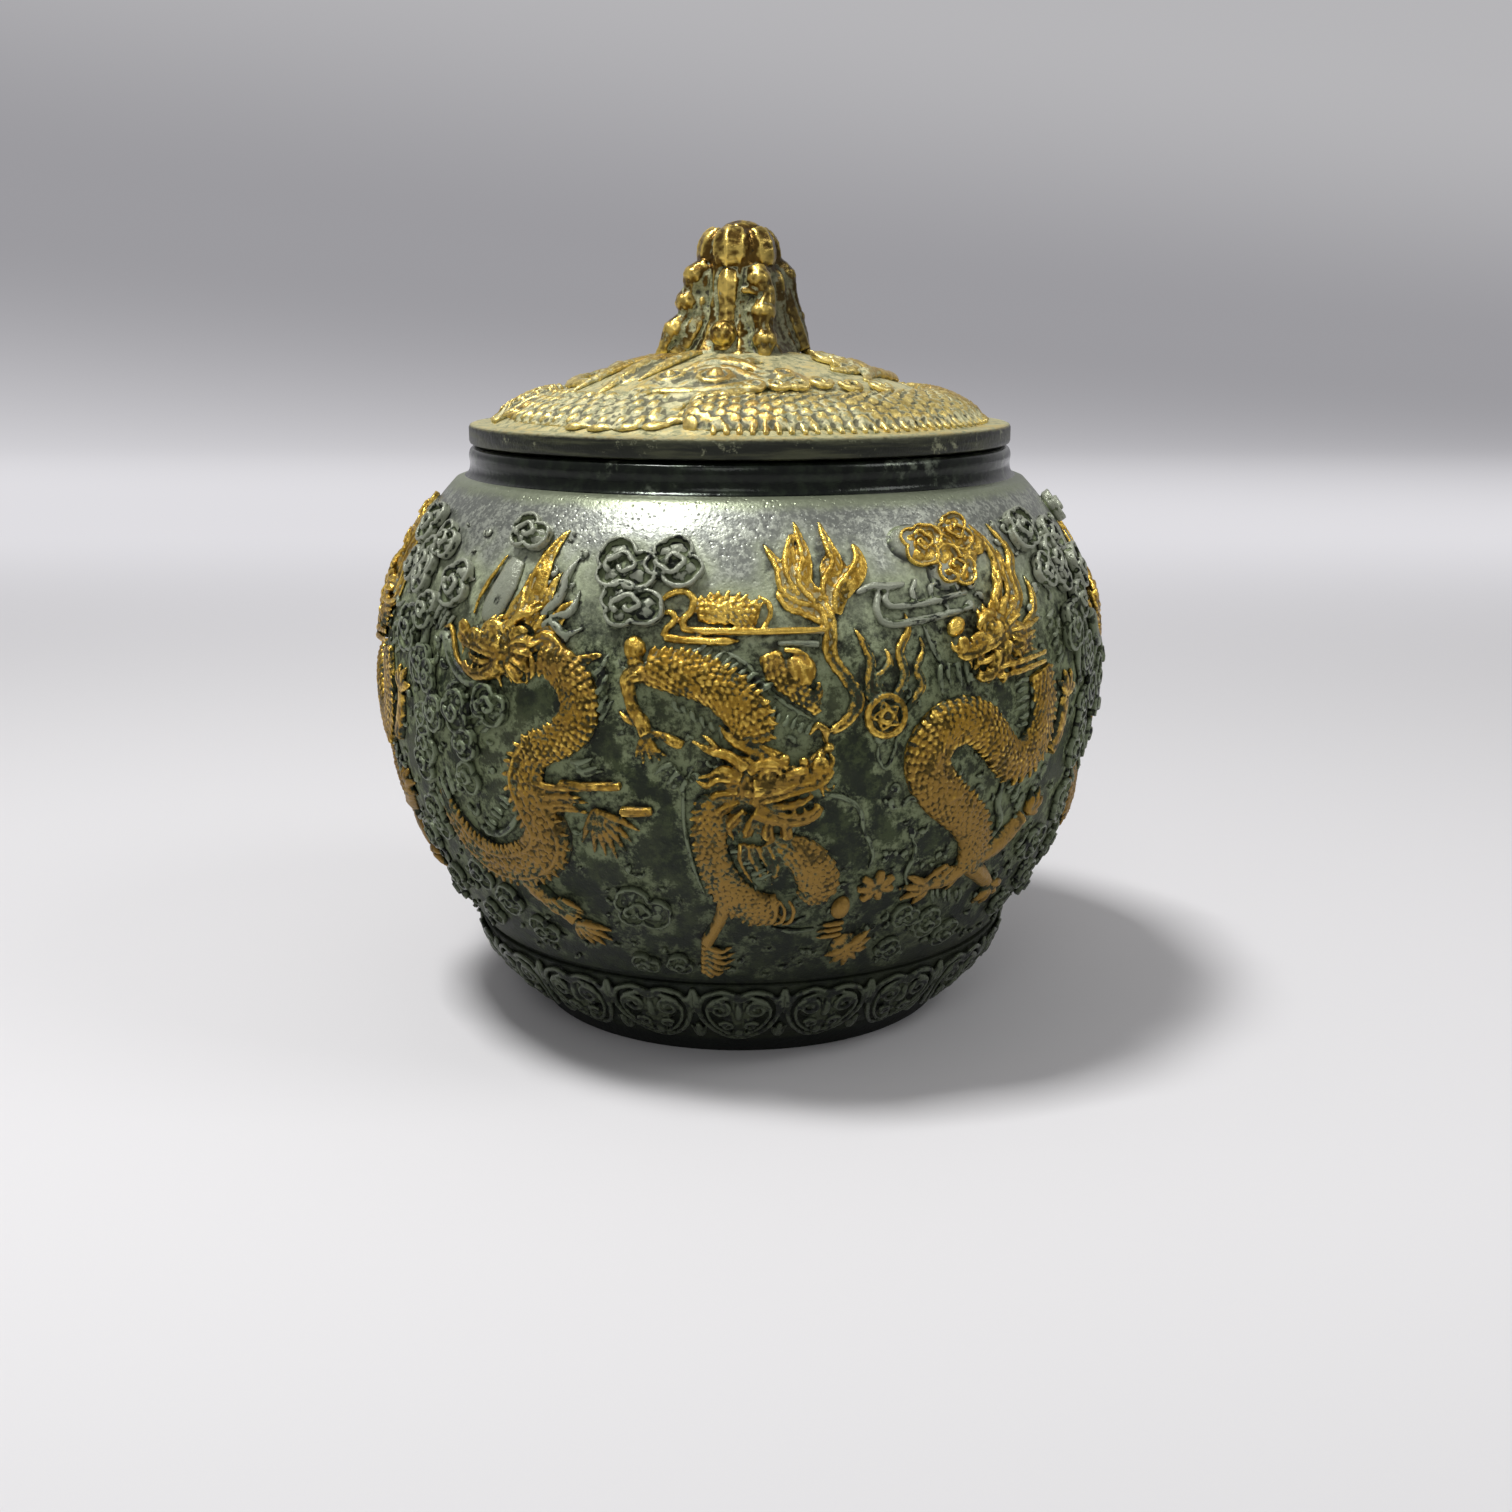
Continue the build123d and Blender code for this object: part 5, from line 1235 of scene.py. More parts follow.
# %% Strokes over the ground
PLAIN = (
    (9, 17, 83, 100), (11, 21, 54, 77), (-15, -7, 49, 80), (-33, -24, 83, 94), (-44, -33, 103, 119),
    (-22, 19, 100, 132), (-23, -14, 56, 84), (4, 17, 35, 42), (19, 26, 98, 132), (-15, -6, 84, 96),
    (-60, 60, 124, 132),
)


def add_ground(wax, low, high, count, seed):
    """Commas of wax between two heights, but not over the fields that are plain."""
    chance = np.random.RandomState(seed)
    for _ in range(count):
        x, y = chance.uniform(-60, 60), chance.uniform(low, high)
        turn, size = chance.uniform(0, 2 * pi), chance.uniform(0.6, 1.25)
        if any(left < x < right and bottom < y < top for left, right, bottom, top in PLAIN):
            continue
        px, py, _ = wax.place(x, y)
        rows = []
        for share, radius in ((0, 0.7), (0.35, 0.6), (0.7, 0.4), (1, 0.12)):
            t, reach = turn + 2.6 * share, size * 2 * share
            rows.append([px + reach * cos(t), py + reach * sin(t), 0.35 * size, radius * size])
        wax.cord(rows, 0.6)


# %% Clouds of the upper half
wax = Wax(wall_sheet)
for place, radius, turn, hand, lobes, squash in (
    ((-16.8, 117.2), 6.6, 90, -1, 5, 0.84), ((-9.4, 118.2), 6, 60, 1, 5, 0.82),
    ((-15.2, 109.8), 6.1, 100, -1, 5, 0.74),
    ((-35.2, 122.4), 5.2, 90, -1, 5, 0.78), ((-47.8, 110.8), 4.6, 40, 1, 6, 1), ((54.4, 121.4), 5.4, 20, 1, 6, 0.95),
    ((60.6, 114.4), 4.4, 60, 1, 5, 1), ((55.6, 112.4), 3.4, 60, 1, 5, 1), ((61.2, 99.6), 4.6, 20, 1, 6, 1.1),
    ((66, 104.6), 3.6, 20, 1, 5, 1), ((66, 93), 3.6, 20, 1, 5, 1), ((-55.4, 118.6), 4.2, 90, -1, 5, 1),
    ((-59, 111), 3.6, 50, -1, 5, 1), ((-36.8, 87.2), 4.4, 90, -1, 6, 0.8), ((-44.4, 84.6), 4.2, 40, 1, 5, 0.9),
    ((-50.4, 82.6), 3.6, 40, 1, 5, 0.9), ((-42.6, 77.6), 3.4, 40, 1, 5, 0.8), ((-52, 90.6), 3.2, 40, 1, 5, 0.9),
):
    add_cloud(wax, place, radius * 1.06, turn, hand, lobes, squash, 2.3, 1.05)
for x, y, wide, tall in ((28.6, 121.6, 7.2, 5.6), (38.8, 123.4, 6.2, 4.8), (33.6, 115.2, 6.2, 5)):
    wax.dab((x, y), -0.3, (wide, tall, 1.4))
for line, girth in (
    (((17.4, 112.4, 0.5), (20, 113.4, 1), (22.6, 113.2, 1), (25.4, 113.6, 0.6)), 2),
    (((22.4, 113, 0.7), (21.8, 110.4, 1), (23.2, 109.4, 1), (28.4, 109.6, 1), (36, 110.9, 0.8)), 1.7),
    (((20.8, 112.2, 0.8), (20.2, 108.4, 1), (22, 106, 1), (27, 106.2, 1), (36.4, 107.8, 0.8)), 1.9),
    (((26.6, 109.6, 0.9), (26.4, 112, 1), (27.6, 114.4, 0.7)), 1.5),
    (((29.8, 110.2, 0.9), (29.6, 112.4, 1), (31, 113.4, 0.6)), 1.4),
    (((27.4, 105.6, 0.7), (28.4, 100.6, 1), (29.8, 97.4, 1), (32.4, 96.4, 0.5)), 1.3),
    (((-29.6, 104.2, 0.8), (-27.2, 105.8, 1), (-24.8, 103.6, 1), (-22.2, 105.2, 0.3)), 2),
    (((-29, 107, 0.8), (-26.6, 110.6, 1), (-26, 115.4, 0.8), (-24.6, 119.4, 0.2)), 2.4),
    (((-27.6, 106.6, 0.8), (-24.4, 108.2, 1), (-23.6, 112.6, 0.2)), 2),
    (((-48.4, 100.2, 0.8), (-46.6, 99.4, 1), (-44.8, 95, 1), (-41.2, 91.8, 1), (-37.4, 92.6, 0.6)), 3),
    (((-54, 104, 0.6), (-53.4, 98, 1), (-54.4, 92, 1), (-52.8, 86.4, 0.4)), 2.2),
    (((-57, 104, 0.6), (-56.6, 98, 1), (-57.4, 92, 1), (-56, 86.4, 0.4)), 2),
    (((20.2, 83.2, 0.7), (19.6, 79.6, 1), (20.8, 76.2, 1), (22, 79.4, 1), (22.4, 83, 0.6)), 1),
    (((11.6, 71.6, 0.7), (14.6, 70.6, 1), (17.2, 67.8, 1), (18.4, 62.6, 0.9), (20.2, 57, 0.9), (20, 53, 0.4)), 1.3),
    (((-5.4, 79, 0.5), (-7.2, 73.4, 1), (-7.4, 64, 1), (-6.4, 55, 1), (-5, 48, 0.5)), 1),
    (((5.6, 103.2, 0.8), (8.6, 103, 1), (11.4, 102.8, 0.9)), 1.6),
    (((-2.4, 102.2, 0.5), (1, 99.4, 1), (3.4, 95.2, 1), (6.4, 91.2, 1), (10.2, 87.6, 0.5)), 1.2),
):
    wax.stroke(line, girth, 0.7)
wax.stroke([(-36.2, 117.4, 0.7), (-37.2, 112.6, 1), (-38.6, 107.2, 1), (-38.6, 104.4, 0.7)], 7.4, 0.2, 0.3)
for root, tip, count in (
    (((-6.6, 101.6), (3.6, 93)), ((-4.2, 104.2), (6.6, 95.4)), 9),
    (((-19.8, 97), (-19, 86)), ((-17.6, 101.4), (-16.6, 90.4)), 6),
    (((-9, 92.4), (-1.4, 86)), ((-8.4, 89.6), (-1.8, 82.4)), 6),
    (((3.4, 88.4), (9.6, 84.4)), ((4.8, 91), (11.2, 86.6)), 6),
    (((28.4, 97), (34.6, 97.4)), ((28.6, 90.2), (35, 90.8)), 4),
    (((46, 92), (46.4, 80)), ((42.8, 91.4), (43.8, 80.6)), 6),
    (((-44, 92), (-36, 82.4)), ((-48, 89), (-40, 79.4)), 7),
    (((52.8, 104), (55, 92)), ((55.6, 105.4), (58, 93.4)), 6),
    (((-52, 108), (-46, 104)), ((-55.4, 103.4), (-49.8, 98)), 6),
    (((-9, 79), (-6.4, 74.4)), ((-12, 76.4), (-8.4, 71)), 5),
):
    add_strands(wax, root, tip, count, 1.3, 0.9, 0.3)
add_ground(wax, 76, 125, 300, 5)
cast_round(wax, "upper_clouds", patina, voxel=0.3, most=74000)

# %% Clouds of the lower half
wax = Wax(wall_sheet)
for place, radius, turn, hand, lobes, squash in (
    ((-15.4, 43.4), 6.6, 90, -1, 5, 0.85), ((-10.6, 29), 3.4, 60, 1, 5, 0.9), ((-17, 28.4), 3.6, 90, -1, 5, 0.85),
    ((28.6, 39.4), 3.6, 90, -1, 5, 0.9), ((34, 36), 4.6, 60, 1, 6, 0.9), ((27.6, 30.6), 3.8, 60, -1, 5, 0.85),
    ((40, 31.4), 4.4, 40, 1, 6, 0.85), ((-36.6, 33.4), 4.4, 90, -1, 5, 0.85), ((-42.4, 39.6), 4.6, 60, -1, 6, 0.9),
    ((-48, 44.6), 4.2, 60, -1, 5, 0.9), ((-50.6, 33.6), 4, 60, -1, 5, 0.85), ((57, 49.6), 4.6, 20, 1, 6, 0.9),
    ((60.6, 40), 4.2, 20, 1, 5, 0.9), ((54.4, 34.6), 3.8, 20, 1, 5, 0.9), ((64, 58.6), 4.2, 20, 1, 5, 0.9),
    ((-55, 55), 3.8, 60, -1, 5, 0.9), ((-43.4, 69.6), 3.6, 60, -1, 5, 0.9), ((-54, 74.6), 4.2, 60, -1, 5, 0.9),
    ((64.6, 70), 4.2, 20, 1, 5, 0.9), ((66, 80.6), 3.8, 20, 1, 5, 0.9),
):
    add_cloud(wax, place, radius, turn, hand, lobes, squash, 1.3, 0.9)
for line, girth in (
    (((-33.8, 63.4, 0.8), (-36, 59.8, 1), (-39.4, 57.4, 1), (-42.8, 58.2, 0.7)), 2),
    (((42.6, 69, 0.5), (42, 64, 1), (43.6, 59, 1), (42.6, 55, 0.5)), 1.8),
    (((25.6, 62, 0.4), (27.4, 56, 1), (26.6, 50.6, 1), (28, 46, 0.5)), 1.2),
    (((5.4, 39.4, 0.5), (9, 38.4, 1), (12.6, 38.6, 0.6)), 1.4),
    (((5.4, 41.6, 0.5), (8, 40.4, 1), (11, 42, 0.6)), 1.2),
):
    wax.stroke(line, girth, 0.7)
for root, tip, count in (
    (((-34.4, 66.4), (-41, 56.2)), ((-36.8, 68), (-43.4, 58.6)), 7),
    (((42.6, 68), (47.4, 60)), ((45, 70.6), (50.4, 63)), 6),
    (((-1.4, 60), (3, 52)), ((2.6, 61.4), (6.6, 52.8)), 6), (((-23.6, 78), (-22, 74.4)), ((-20, 79), (-18, 75)), 4),
    (((31.6, 46), (40, 43.4)), ((33.2, 41), (41, 38.6)), 6),
    (((-46.6, 66), (-52, 60)), ((-48.2, 72), (-54.6, 66)), 5), (((50, 52), (53.6, 46)), ((53.6, 54), (57, 47.6)), 5),
):
    add_strands(wax, root, tip, count, 1.3, 0.9, 0.3)
add_ground(wax, 26, 76, 260, 9)
cast_round(wax, "lower_clouds", patina, voxel=0.3, most=52000)

# %% [markdown]
# ## Turned pieces
#
# The jar, the collar and the lid were turned true after the casting. Half of a section is drawn as a
# chain of points, as a turner's template would be cut. It is spun into a wedge, and copies of the wedge
# close the ring. The wall is the same curve as the sheet's, so the relief sits on it without a gap.

# %% A skin turned from a section


WEDGES = 20
SHARP = 35


def turned(rows, steps):
    """A closed skin from rows of radius and height in millimetres, in so many steps round."""
    bm = bmesh.new()
    verts = [bm.verts.new((0, -reach, height)) for reach, height in rows]
    edges = [bm.edges.new(pair) for pair in zip(verts, verts[1:])]
    angle = 2 * pi / WEDGES
    bmesh.ops.spin(bm, geom=verts + edges, cent=(0, 0, 0), axis=(0, 0, 1), angle=angle, steps=steps // WEDGES)
    bmesh.ops.scale(bm, vec=(MM, MM, MM), verts=bm.verts)
    wedge = bpy.data.meshes.new("wedge")
    bm.to_mesh(wedge)
    bm.clear()
    for _ in range(WEDGES):
        wedge.transform(Matrix.Rotation(angle, 4, "Z"))
        bm.from_mesh(wedge)
    bmesh.ops.remove_doubles(bm, verts=bm.verts, dist=0.001 * MM)
    bmesh.ops.recalc_face_normals(bm, faces=bm.faces)
    mesh = bpy.data.meshes.new("turned")
    bm.to_mesh(mesh)
    bm.free()
    bpy.data.meshes.remove(wedge)
    mesh.set_sharp_from_angle(angle=radians(SHARP))
    return mesh


def bent(start, end, bulge, count):
    """Points on a shallow bow between two places; bulge is to the right of the way."""
    share = np.linspace(0, 1, count)[:, None]
    start, end = np.array(start, float), np.array(end, float)
    along = (end - start) / np.linalg.norm(end - start)
    side = np.array([along[1], -along[0]])
    return start + (end - start) * share + side * bulge * 4 * share * (1 - share)


# %% Jar body
wall_thickness = 3.2
bed_foot, bed_top, bed_bulge = (53, 5), (groove_radius, 21.9), 1.6

foot_rows = [
    (0, 3), (44.5, 3), (45, 2.6), (45, 0.4), (45.4, 0), (50.6, 0), (51, 0.3), (51.8, 2.4), (53, 4.4), bed_foot,
]
bed_rows = bent(bed_foot, bed_top, bed_bulge, 26)[1:]
groove_rows = [(66.2, 22.2), (65.3, 22.35), (65.2, 23.1), (66.1, 23.4)]
outer_heights = np.linspace(groove_height, shoulder_height, 138)
outer_rows = np.stack([wall_radius(outer_heights), outer_heights], axis=1)
seat_rows = [
    (67.4, 131), (65.6, 131.6), (64.6, 131.7), (61, 132),
    (61, 138.1), (60.6, 138.5), (57.9, 138.5), (57.5, 138.1), (57.5, 131.8),
]
inner_heights = np.linspace(shoulder_height - wall_thickness, 26, 34)
inner_rows = np.stack([wall_radius(inner_heights) - wall_thickness, inner_heights], axis=1)
floor_rows = [(61, 19), (56, 12), (50, 9), (44, 8.2), (0, 8)]
rows = [*foot_rows, *bed_rows, *groove_rows, *outer_rows, *seat_rows, *inner_rows, *floor_rows]
jar_mesh = turned(rows, 400)
new_piece("jar_body_cast", jar_mesh, "jar", wall_patina, ["jar_body"])

# %% Collar
collar_bend = (
    (67.8, 130.75), (66.5, 131.4), (65.75, 132.4), (65.5, 134), (65.7, 135.8), (65.3, 137.3), (64.2, 138),
    (62.6, 138.2),
)
collar_rows = smooth_line([[*place, 0, 1] for place in collar_bend], 0.5)[:, :2]
rows = [(61.1, 130.6), *collar_rows, (61.1, 138.2), (61.1, 130.6)]
new_piece("collar_ring", turned(rows, 300), "jar", dark_bronze, ["collar"])

# %% Lid shell
dome_foot, dome_crown, flange_top = 60.5, 13, 143.3
dome_rise, dome_bow, lid_thickness = 16.5, 6.4, 3


def dome_height(reach):
    """Height of the dome's outside over the table, from its distance to the axis."""
    share = np.clip((dome_foot - reach) / (dome_foot - dome_crown), 0, 1)
    return flange_top + dome_rise * share + dome_bow * share * (1 - share)


inner_reach = np.linspace(0, 54.3, 40)
outer_reach = np.linspace(dome_foot, dome_crown, 60)
rows = [
    *np.stack([inner_reach, dome_height(inner_reach) - lid_thickness], axis=1),
    (54.3, 138.6), (54.4, 138.5), (64.8, 138.5), (65.3, 138.8),
    (65.5, 139.4), (65.5, 142.4), (65.2, 143), (64.5, flange_top),
    *np.stack([outer_reach, dome_height(outer_reach)], axis=1),
    (6, 159.8), (0, 159.8),
]
new_piece("lid_cast", turned(rows, 400), "lid", pale_verdigris, ["lid_shell"])

# %% [markdown]
# ## The petals over the foot
#
# Twenty lotus petals stand in a row over the foot. On the real jar one petal is carved, and the row is
# pressed from it. Here one petal is drawn on a sheet that wraps round the bed over the foot: a double
# outline, a swollen middle, two pairs of curls and a leaf on each side. It is cast once and copied round.

# %% Petals over the foot
PETALS = 20
bed = bent(bed_foot, bed_top, bed_bulge, 60)
bed_sheet = Sheet(bed[:, 1], bed[:, 0], 60)

wax = Wax(bed_sheet)
petal = ((0, 5.9), (-3.4, 7.4), (-6.6, 11), (-8, 15.5), (-6.8, 19.6), (-3.2, 21.2), (0, 20.2),
         (3.2, 21.2), (6.8, 19.6), (8, 15.5), (6.6, 11), (3.4, 7.4), (0, 5.9))
for share, lift, radius in ((1, 1, 0.6), (0.8, 1.3, 0.45)):
    wax.cord([[*wax.place(a * share, 14 + (h - 14) * share, lift), radius] for a, h in petal], 0.5)
for height, width, tall in ((15, 6.4, 5), (10, 4.2, 3)):
    wax.dab((0, height), -0.2, (width, tall, 1.2))
for side in (-1, 1):
    for middle, height, size, turns in ((3.7, 16.6, 2.6, 1.5), (2.6, 11.4, 1.7, 1.2)):
        x, y, _ = wax.place(side * middle, height)
        rows = []
        for share in np.linspace(0, 1, 24):
            turn = radians(90 - side * 70) + side * share * turns * 2 * pi
            reach = size * (1 - 0.78 * share)
            rows.append([x + reach * cos(turn), y + reach * sin(turn), 1.5, 0.5])
        wax.rope(np.array(rows))
    wax.stroke([(side * 9, 21.6, 0.5), (side * 8.4, 18.6, 1), (side * 9, 15, 0.6)], 1.6, 1.2)
    wax.stroke([(side * 7.2, 9.8, 0.4), (side * 8.6, 7.2, 1), (side * 9, 11, 0.8)], 1.5, 1.2)
wax.stroke([(0, 18.6, 0.6), (0, 15.4, 1), (0, 12.6, 0.4)], 1.8, 1.6)
wax.dab((0, 8.6), 1, (1.2, 1.6, 0.9))

skin = cast_skin(wax, voxel=0.36, most=6200, smoothing=1)
bm = bmesh.new()
for number in range(PETALS):
    petal_mesh = turned_copy(skin, number, PETALS)
    bm.from_mesh(petal_mesh)
    bpy.data.meshes.remove(petal_mesh)
petals_mesh = bpy.data.meshes.new("petals")
bm.to_mesh(petals_mesh)
bm.free()
bpy.data.meshes.remove(skin)
new_piece("petals_cast", petals_mesh, "jar", patina, ["petal_band"])

# %% [markdown]
# ## The dragon on the lid
#
# A scaled body runs round the foot of the dome and ends in a finely scaled neck and a head at the front,
# with waves and curls of its mane inside the ring. On the real jar it is cast with the lid and worked
# over with a chisel. Here it is drawn as it is seen from above, and the drawing is dropped on the dome by
# adding the dome's height to each point.

# %% The lid's dome, and the ridges that are laid on it


class Dome:
    """The lid seen from above; lift is straight up."""

    def place(self, angle, reach, lift=0.0):
        return np.array([reach * sin(radians(angle)), -reach * cos(radians(angle)), lift])

    def wrap(self, points):
        height = dome_height(np.hypot(points[:, 0], points[:, 1])) + points[:, 2]
        return np.stack([points[:, 0], points[:, 1], height], axis=1) * MM


def add_wave(wax, *rows):
    """A ridge through rows of x, y and girth that rises from the dome and sinks back in."""
    last = len(rows) - 1
    lifts = [0.2 + 0.7 * sin(pi * number / last) for number in range(len(rows))]
    wax.cord([[x, y, lift, girth * 0.82] for (x, y, girth), lift in zip(rows, lifts)], 0.6, 0.62)


def add_swirl(wax, angle, reach):
    """A spiral with four long waves that stream from it round the lid."""
    add_curl(wax, (angle, reach), 5.4, angle - 150, 1, 1.5, 2.4, 0.9, close=0.8)
    for number, (gap, start, end) in enumerate(((5, -16, 26), (8.2, 2, 52), (11.6, -10, 34), (14.6, 16, 58))):
        rows = []
        for share in np.linspace(0, 1, 9):
            rise = 2.3 * sin(6 * share + 1.3 * number) - 3 * share * (number % 2)
            x, y, _ = wax.place(angle + start + (end - start) * share, reach + gap + rise)
            rows.append((x, y, 0.5 + 1.9 * sin(pi * (0.08 + 0.84 * share))))
        add_wave(wax, *rows)


def cast_lid_piece(wax, name, material, nodes, voxel, most):
    """Cast a motif once, as a piece of the lid."""
    new_piece(name, cast_skin(wax, voxel, most), "lid", material, nodes)


# %% Lid dragon: the scaled body, its cord and its scaly neck
coil_reach, coil_flatness = 51.8, 0.34

wax = Wax(Dome())
coil = wax.stroke([(angle, coil_reach, 1) for angle in range(-12, 292, 10)], 13.4, 0, coil_flatness)
add_scales(wax, coil, 3.5, coil_flatness, 60, 1.12)
for angle in np.arange(-5, 288, 2.7):
    wax.rope(np.array([[*wax.place(angle, 57.8, 0.8), 0.75], [*wax.place(angle, 60.2, 0.3), 0.75]]))
neck = [(-14, 51, 0.7), (-28, 51.4, 1), (-46, 51.4, 1), (-64, 50.8, 1), (-80, 49.5, 0.7)]
wax.stroke(neck, 14, 0, 0.2)
for row, reach in enumerate((46.4, 49.8, 53.2, 56.6)):
    for number in range(13):
        angle = -19.5 - 4.6 * number - 2.3 * (row % 2)
        wax.dab((angle, reach), 1.25 - 0.12 * abs(row - 1.5), (1.15, 1.85, 0.8), angle - 24)
for angle, reach in ((-37, 58.6), (-30.5, 58.9), (-24, 58.4), (-18, 57.6), (-14, 55.2), (-19.5, 54.6), (-12, 52.2)):
    tooth = [(-3.2, 0.4, 0.4), (-0.6, 0.5, 1), (2, -0.3, 0.7), (3.6, -1.2, 0.1)]
    wax.stroke([(angle + a, reach + b, share) for a, b, share in tooth], 2.3, 0.9, 0.7)

# %% Lid dragon: the head, in places seen from above
for x, y, wide, deep, high, turn in (
    (-6, -33.6, 11.5, 7.6, 1.5, 0), (-17.5, -33, 7, 5.6, 1.3, -20),
    (9, -32, 8, 6, 1.1, 20), (-24, -18, 7, 10, 1.1, -48),
):
    wax.lump((x, y, -0.2), (wide, deep, high), turn)
eye = (-5.3, -35.2)
wax.lump((*eye, 1.2), (2.2, 2.2, 2.4))
add_ring(wax, *eye, 3.6, 3.1, 0.75, 1.6, 40)
add_wave(wax, (-14.6, -36.6, 0.6), (-12.2, -31.6, 1.5), (-7.4, -28.9, 1.9), (-1.6, -30, 1.9), (2.8, -33.8, 1.7),
         (8.6, -35.6, 0.5))
add_wave(wax, (-13.4, -38.2, 0.5), (-8.6, -40.6, 1.4), (-3.2, -40.6, 1.5), (1.8, -37.6, 1.3), (3.4, -34.6, 0.5))
for x, y in ((-9.8, -27.2), (-4.6, -26.4), (0.8, -27.6)):
    add_wave(wax, (x, y, 1.2), (x + 0.4, y + 2.4, 1.6), (x + 2.2, y + 4.6, 1.2), (x + 5, y + 5.4, 0.4))
nostril = (-15.6, -31.4)
wax.lump((*nostril, 0.9), (1.5, 1.5, 1.8))
add_ring(wax, *nostril, 2.9, 2.5, 0.6, 1.3, 40)
add_wave(wax, (-27, -39.5, 0.6), (-20, -42, 1.5), (-12, -43.6, 1.6), (-3, -43.4, 1.6), (4, -40, 1.4), (8, -34.5, 0.5))
add_wave(wax, (-25, -35.5, 0.5), (-18, -38.6, 1.3), (-11, -40.6, 1.4), (-4, -40.2, 0.6))
add_wave(wax, (-14, -27.5, 0.6), (-8, -24.6, 1.8), (0, -25.4, 2.2), (6, -29.6, 0.8))
add_wave(wax, (-32, -29.5, 0.8), (-26, -21.5, 2.6), (-20, -14, 2.8), (-15, -9, 1.4))
add_wave(wax, (-23, -27, 0.6), (-17, -20.5, 2), (-12, -14.5, 2), (-9, -11, 1))
add_wave(wax, (-40, -20, 0.6), (-33, -14, 2), (-25, -6, 2.2), (-18, -1, 1))
for x, y, size, start, hand in (
    (3.6, -39.4, 2.3, 200, 1), (8.6, -38.2, 2.3, 20, -1), (13.4, -36.4, 2.4, 210, 1), (18.2, -33.4, 2.4, 30, -1),
    (9.8, -31.6, 2.5, 240, 1), (-22, -38.6, 2.2, 150, -1), (25.5, -31, 2.6, 200, 1), (32, -26, 2.8, 60, -1),
):
    centre = (np.degrees(np.arctan2(x, -y)), hypot(x, y))
    add_curl(wax, centre, size * 1.15, start, hand, 1.15, 1.7, 1.1)

# %% Lid dragon: swirls of mane and cloud round the rest of the dome
for angle, reach in ((64, 23.5), (128, 26), (184, 22.5), (238, 25.5)):
    add_swirl(wax, angle, reach)
    add_curl(wax, (angle + 34, 18.5), 2.6, angle, -1, 1.3, 1.2, 0.9)
    add_curl(wax, (angle + 42, 27), 2.6, angle + 90, 1, 1.3, 1.2, 0.9)
cast_lid_piece(wax, "lid_dragon_cast", pale_gilt, ["lid_dragon"], voxel=0.4, most=150000)

# %% [markdown]
# ## The knob
#
# The lid is lifted by a claw: a column with a flared foot and a lobed cap, clawed digits that come down
# its sides, and a ball held under the front ones. It was modelled in the round before the casting, so
# here it has no sheet: its ropes stand free, and its wax is cut off just inside the dome.

# %% Knob


class Free:
    """Wax modelled in the round, in millimetres."""

    def place(self, x, y, z=0.0):
        return np.array([x, y, z])

    def wrap(self, points):
        return points * MM


def scaled_rows(x, y, *rows):
    """Rows of share, height and radius along a way up through a place that moves in or out by shares."""
    return [[x * share, y * share, height, radius] for share, height, radius in rows]


wax = Wax(Free(), root=158.6)
column = (
    (158, 16.5), (160, 14), (163.5, 11.6), (169, 9.6), (174, 8.9), (179, 8.7), (184, 8), (187.2, 6.4), (188.6, 4),
)
wax.cord([[0, 0, height, radius] for height, radius in column], 0.8)
# The lobes of the cap and the ribs under them.
for x, y, radius in (
    (-1.6, -4.6, 5), (-6.2, -0.2, 3.9), (4.6, -3.4, 4), (6, 2.6, 3.9), (0.6, 5.6, 4.4), (-5, 4, 3.9),
):
    wax.cord(scaled_rows(x, y, (1.12, 179.4, radius * 0.8), (1.06, 182, radius), (0.92, 185, radius),
                         (0.66, 187.4, radius * 0.72)), 0.6)
wax.lump((0.5, 0.5, 188.2), (4.8, 4.6, 2.2))
for x, y, radius in ((-2.4, -7.4, 3.1), (-8.2, -1.4, 2.6), (-5.5, 6, 3), (2.5, 7.4, 3), (8.2, 1.2, 3.2)):
    wax.cord(scaled_rows(x, y, (0.92, 178.6, radius * 0.7), (1, 175.5, radius), (1.02, 170, radius * 0.85),
                         (1.12, 165.5, radius * 0.9), (1.4, 159.5, radius)), 0.8)
wax.cord([[-8, -2, 170, 3.2], [-10.5, -2.4, 165, 3.8], [-13, -2.8, 161, 3.6], [-15.6, -3.2, 158.4, 2.8]], 0.8)
wax.cord([[8.4, 2.4, 178, 2.6], [10, 3, 172, 3.2], [11.8, 3.8, 166, 3.6], [14, 4.8, 160, 3.6]], 0.8)
# The digits: each is a chain of knuckles with a web behind it.
fingers = (
    ((-7.5, -2.5, 179.6, 2.2), (-10.6, -2.5, 177.6, 2.7), (-11.4, -2.5, 174.4, 2.2), (-12.4, -2.6, 171.4, 2.9),
     (-12.6, -2.8, 168, 2.2), (-15.4, -3, 164.8, 2.9), (-17.4, -3.2, 161.6, 2), (-20.2, -3.6, 157.9, 0.7)),
    ((4, -7.4, 179.2, 2.2), (4.6, -8.8, 176.6, 2.7), (6.4, -9.2, 173, 2.2), (5.6, -10.6, 169, 2.8),
     (5.8, -11.2, 165.6, 2.4), (6, -12, 162.6, 2.8), (5.9, -13.4, 159.8, 1.9), (5.8, -14.8, 157.6, 0.7)),
    ((8.2, 3.4, 180.4, 2.4), (10.6, 4.2, 177.6, 2.8), (11.8, 4.8, 172.4, 2.5), (13, 5.4, 167.6, 2.7),
     (14.6, 6.4, 163, 2.4), (16.6, 7.4, 159, 1)),
    ((-3.4, 8, 180.4, 2.4), (-4.4, 10.4, 177, 2.8), (-5, 11.6, 172, 2.4), (-5.6, 13, 167.4, 2.8),
     (-6.4, 14.8, 163, 2.2), (-7.2, 16.6, 159, 0.8)),
)
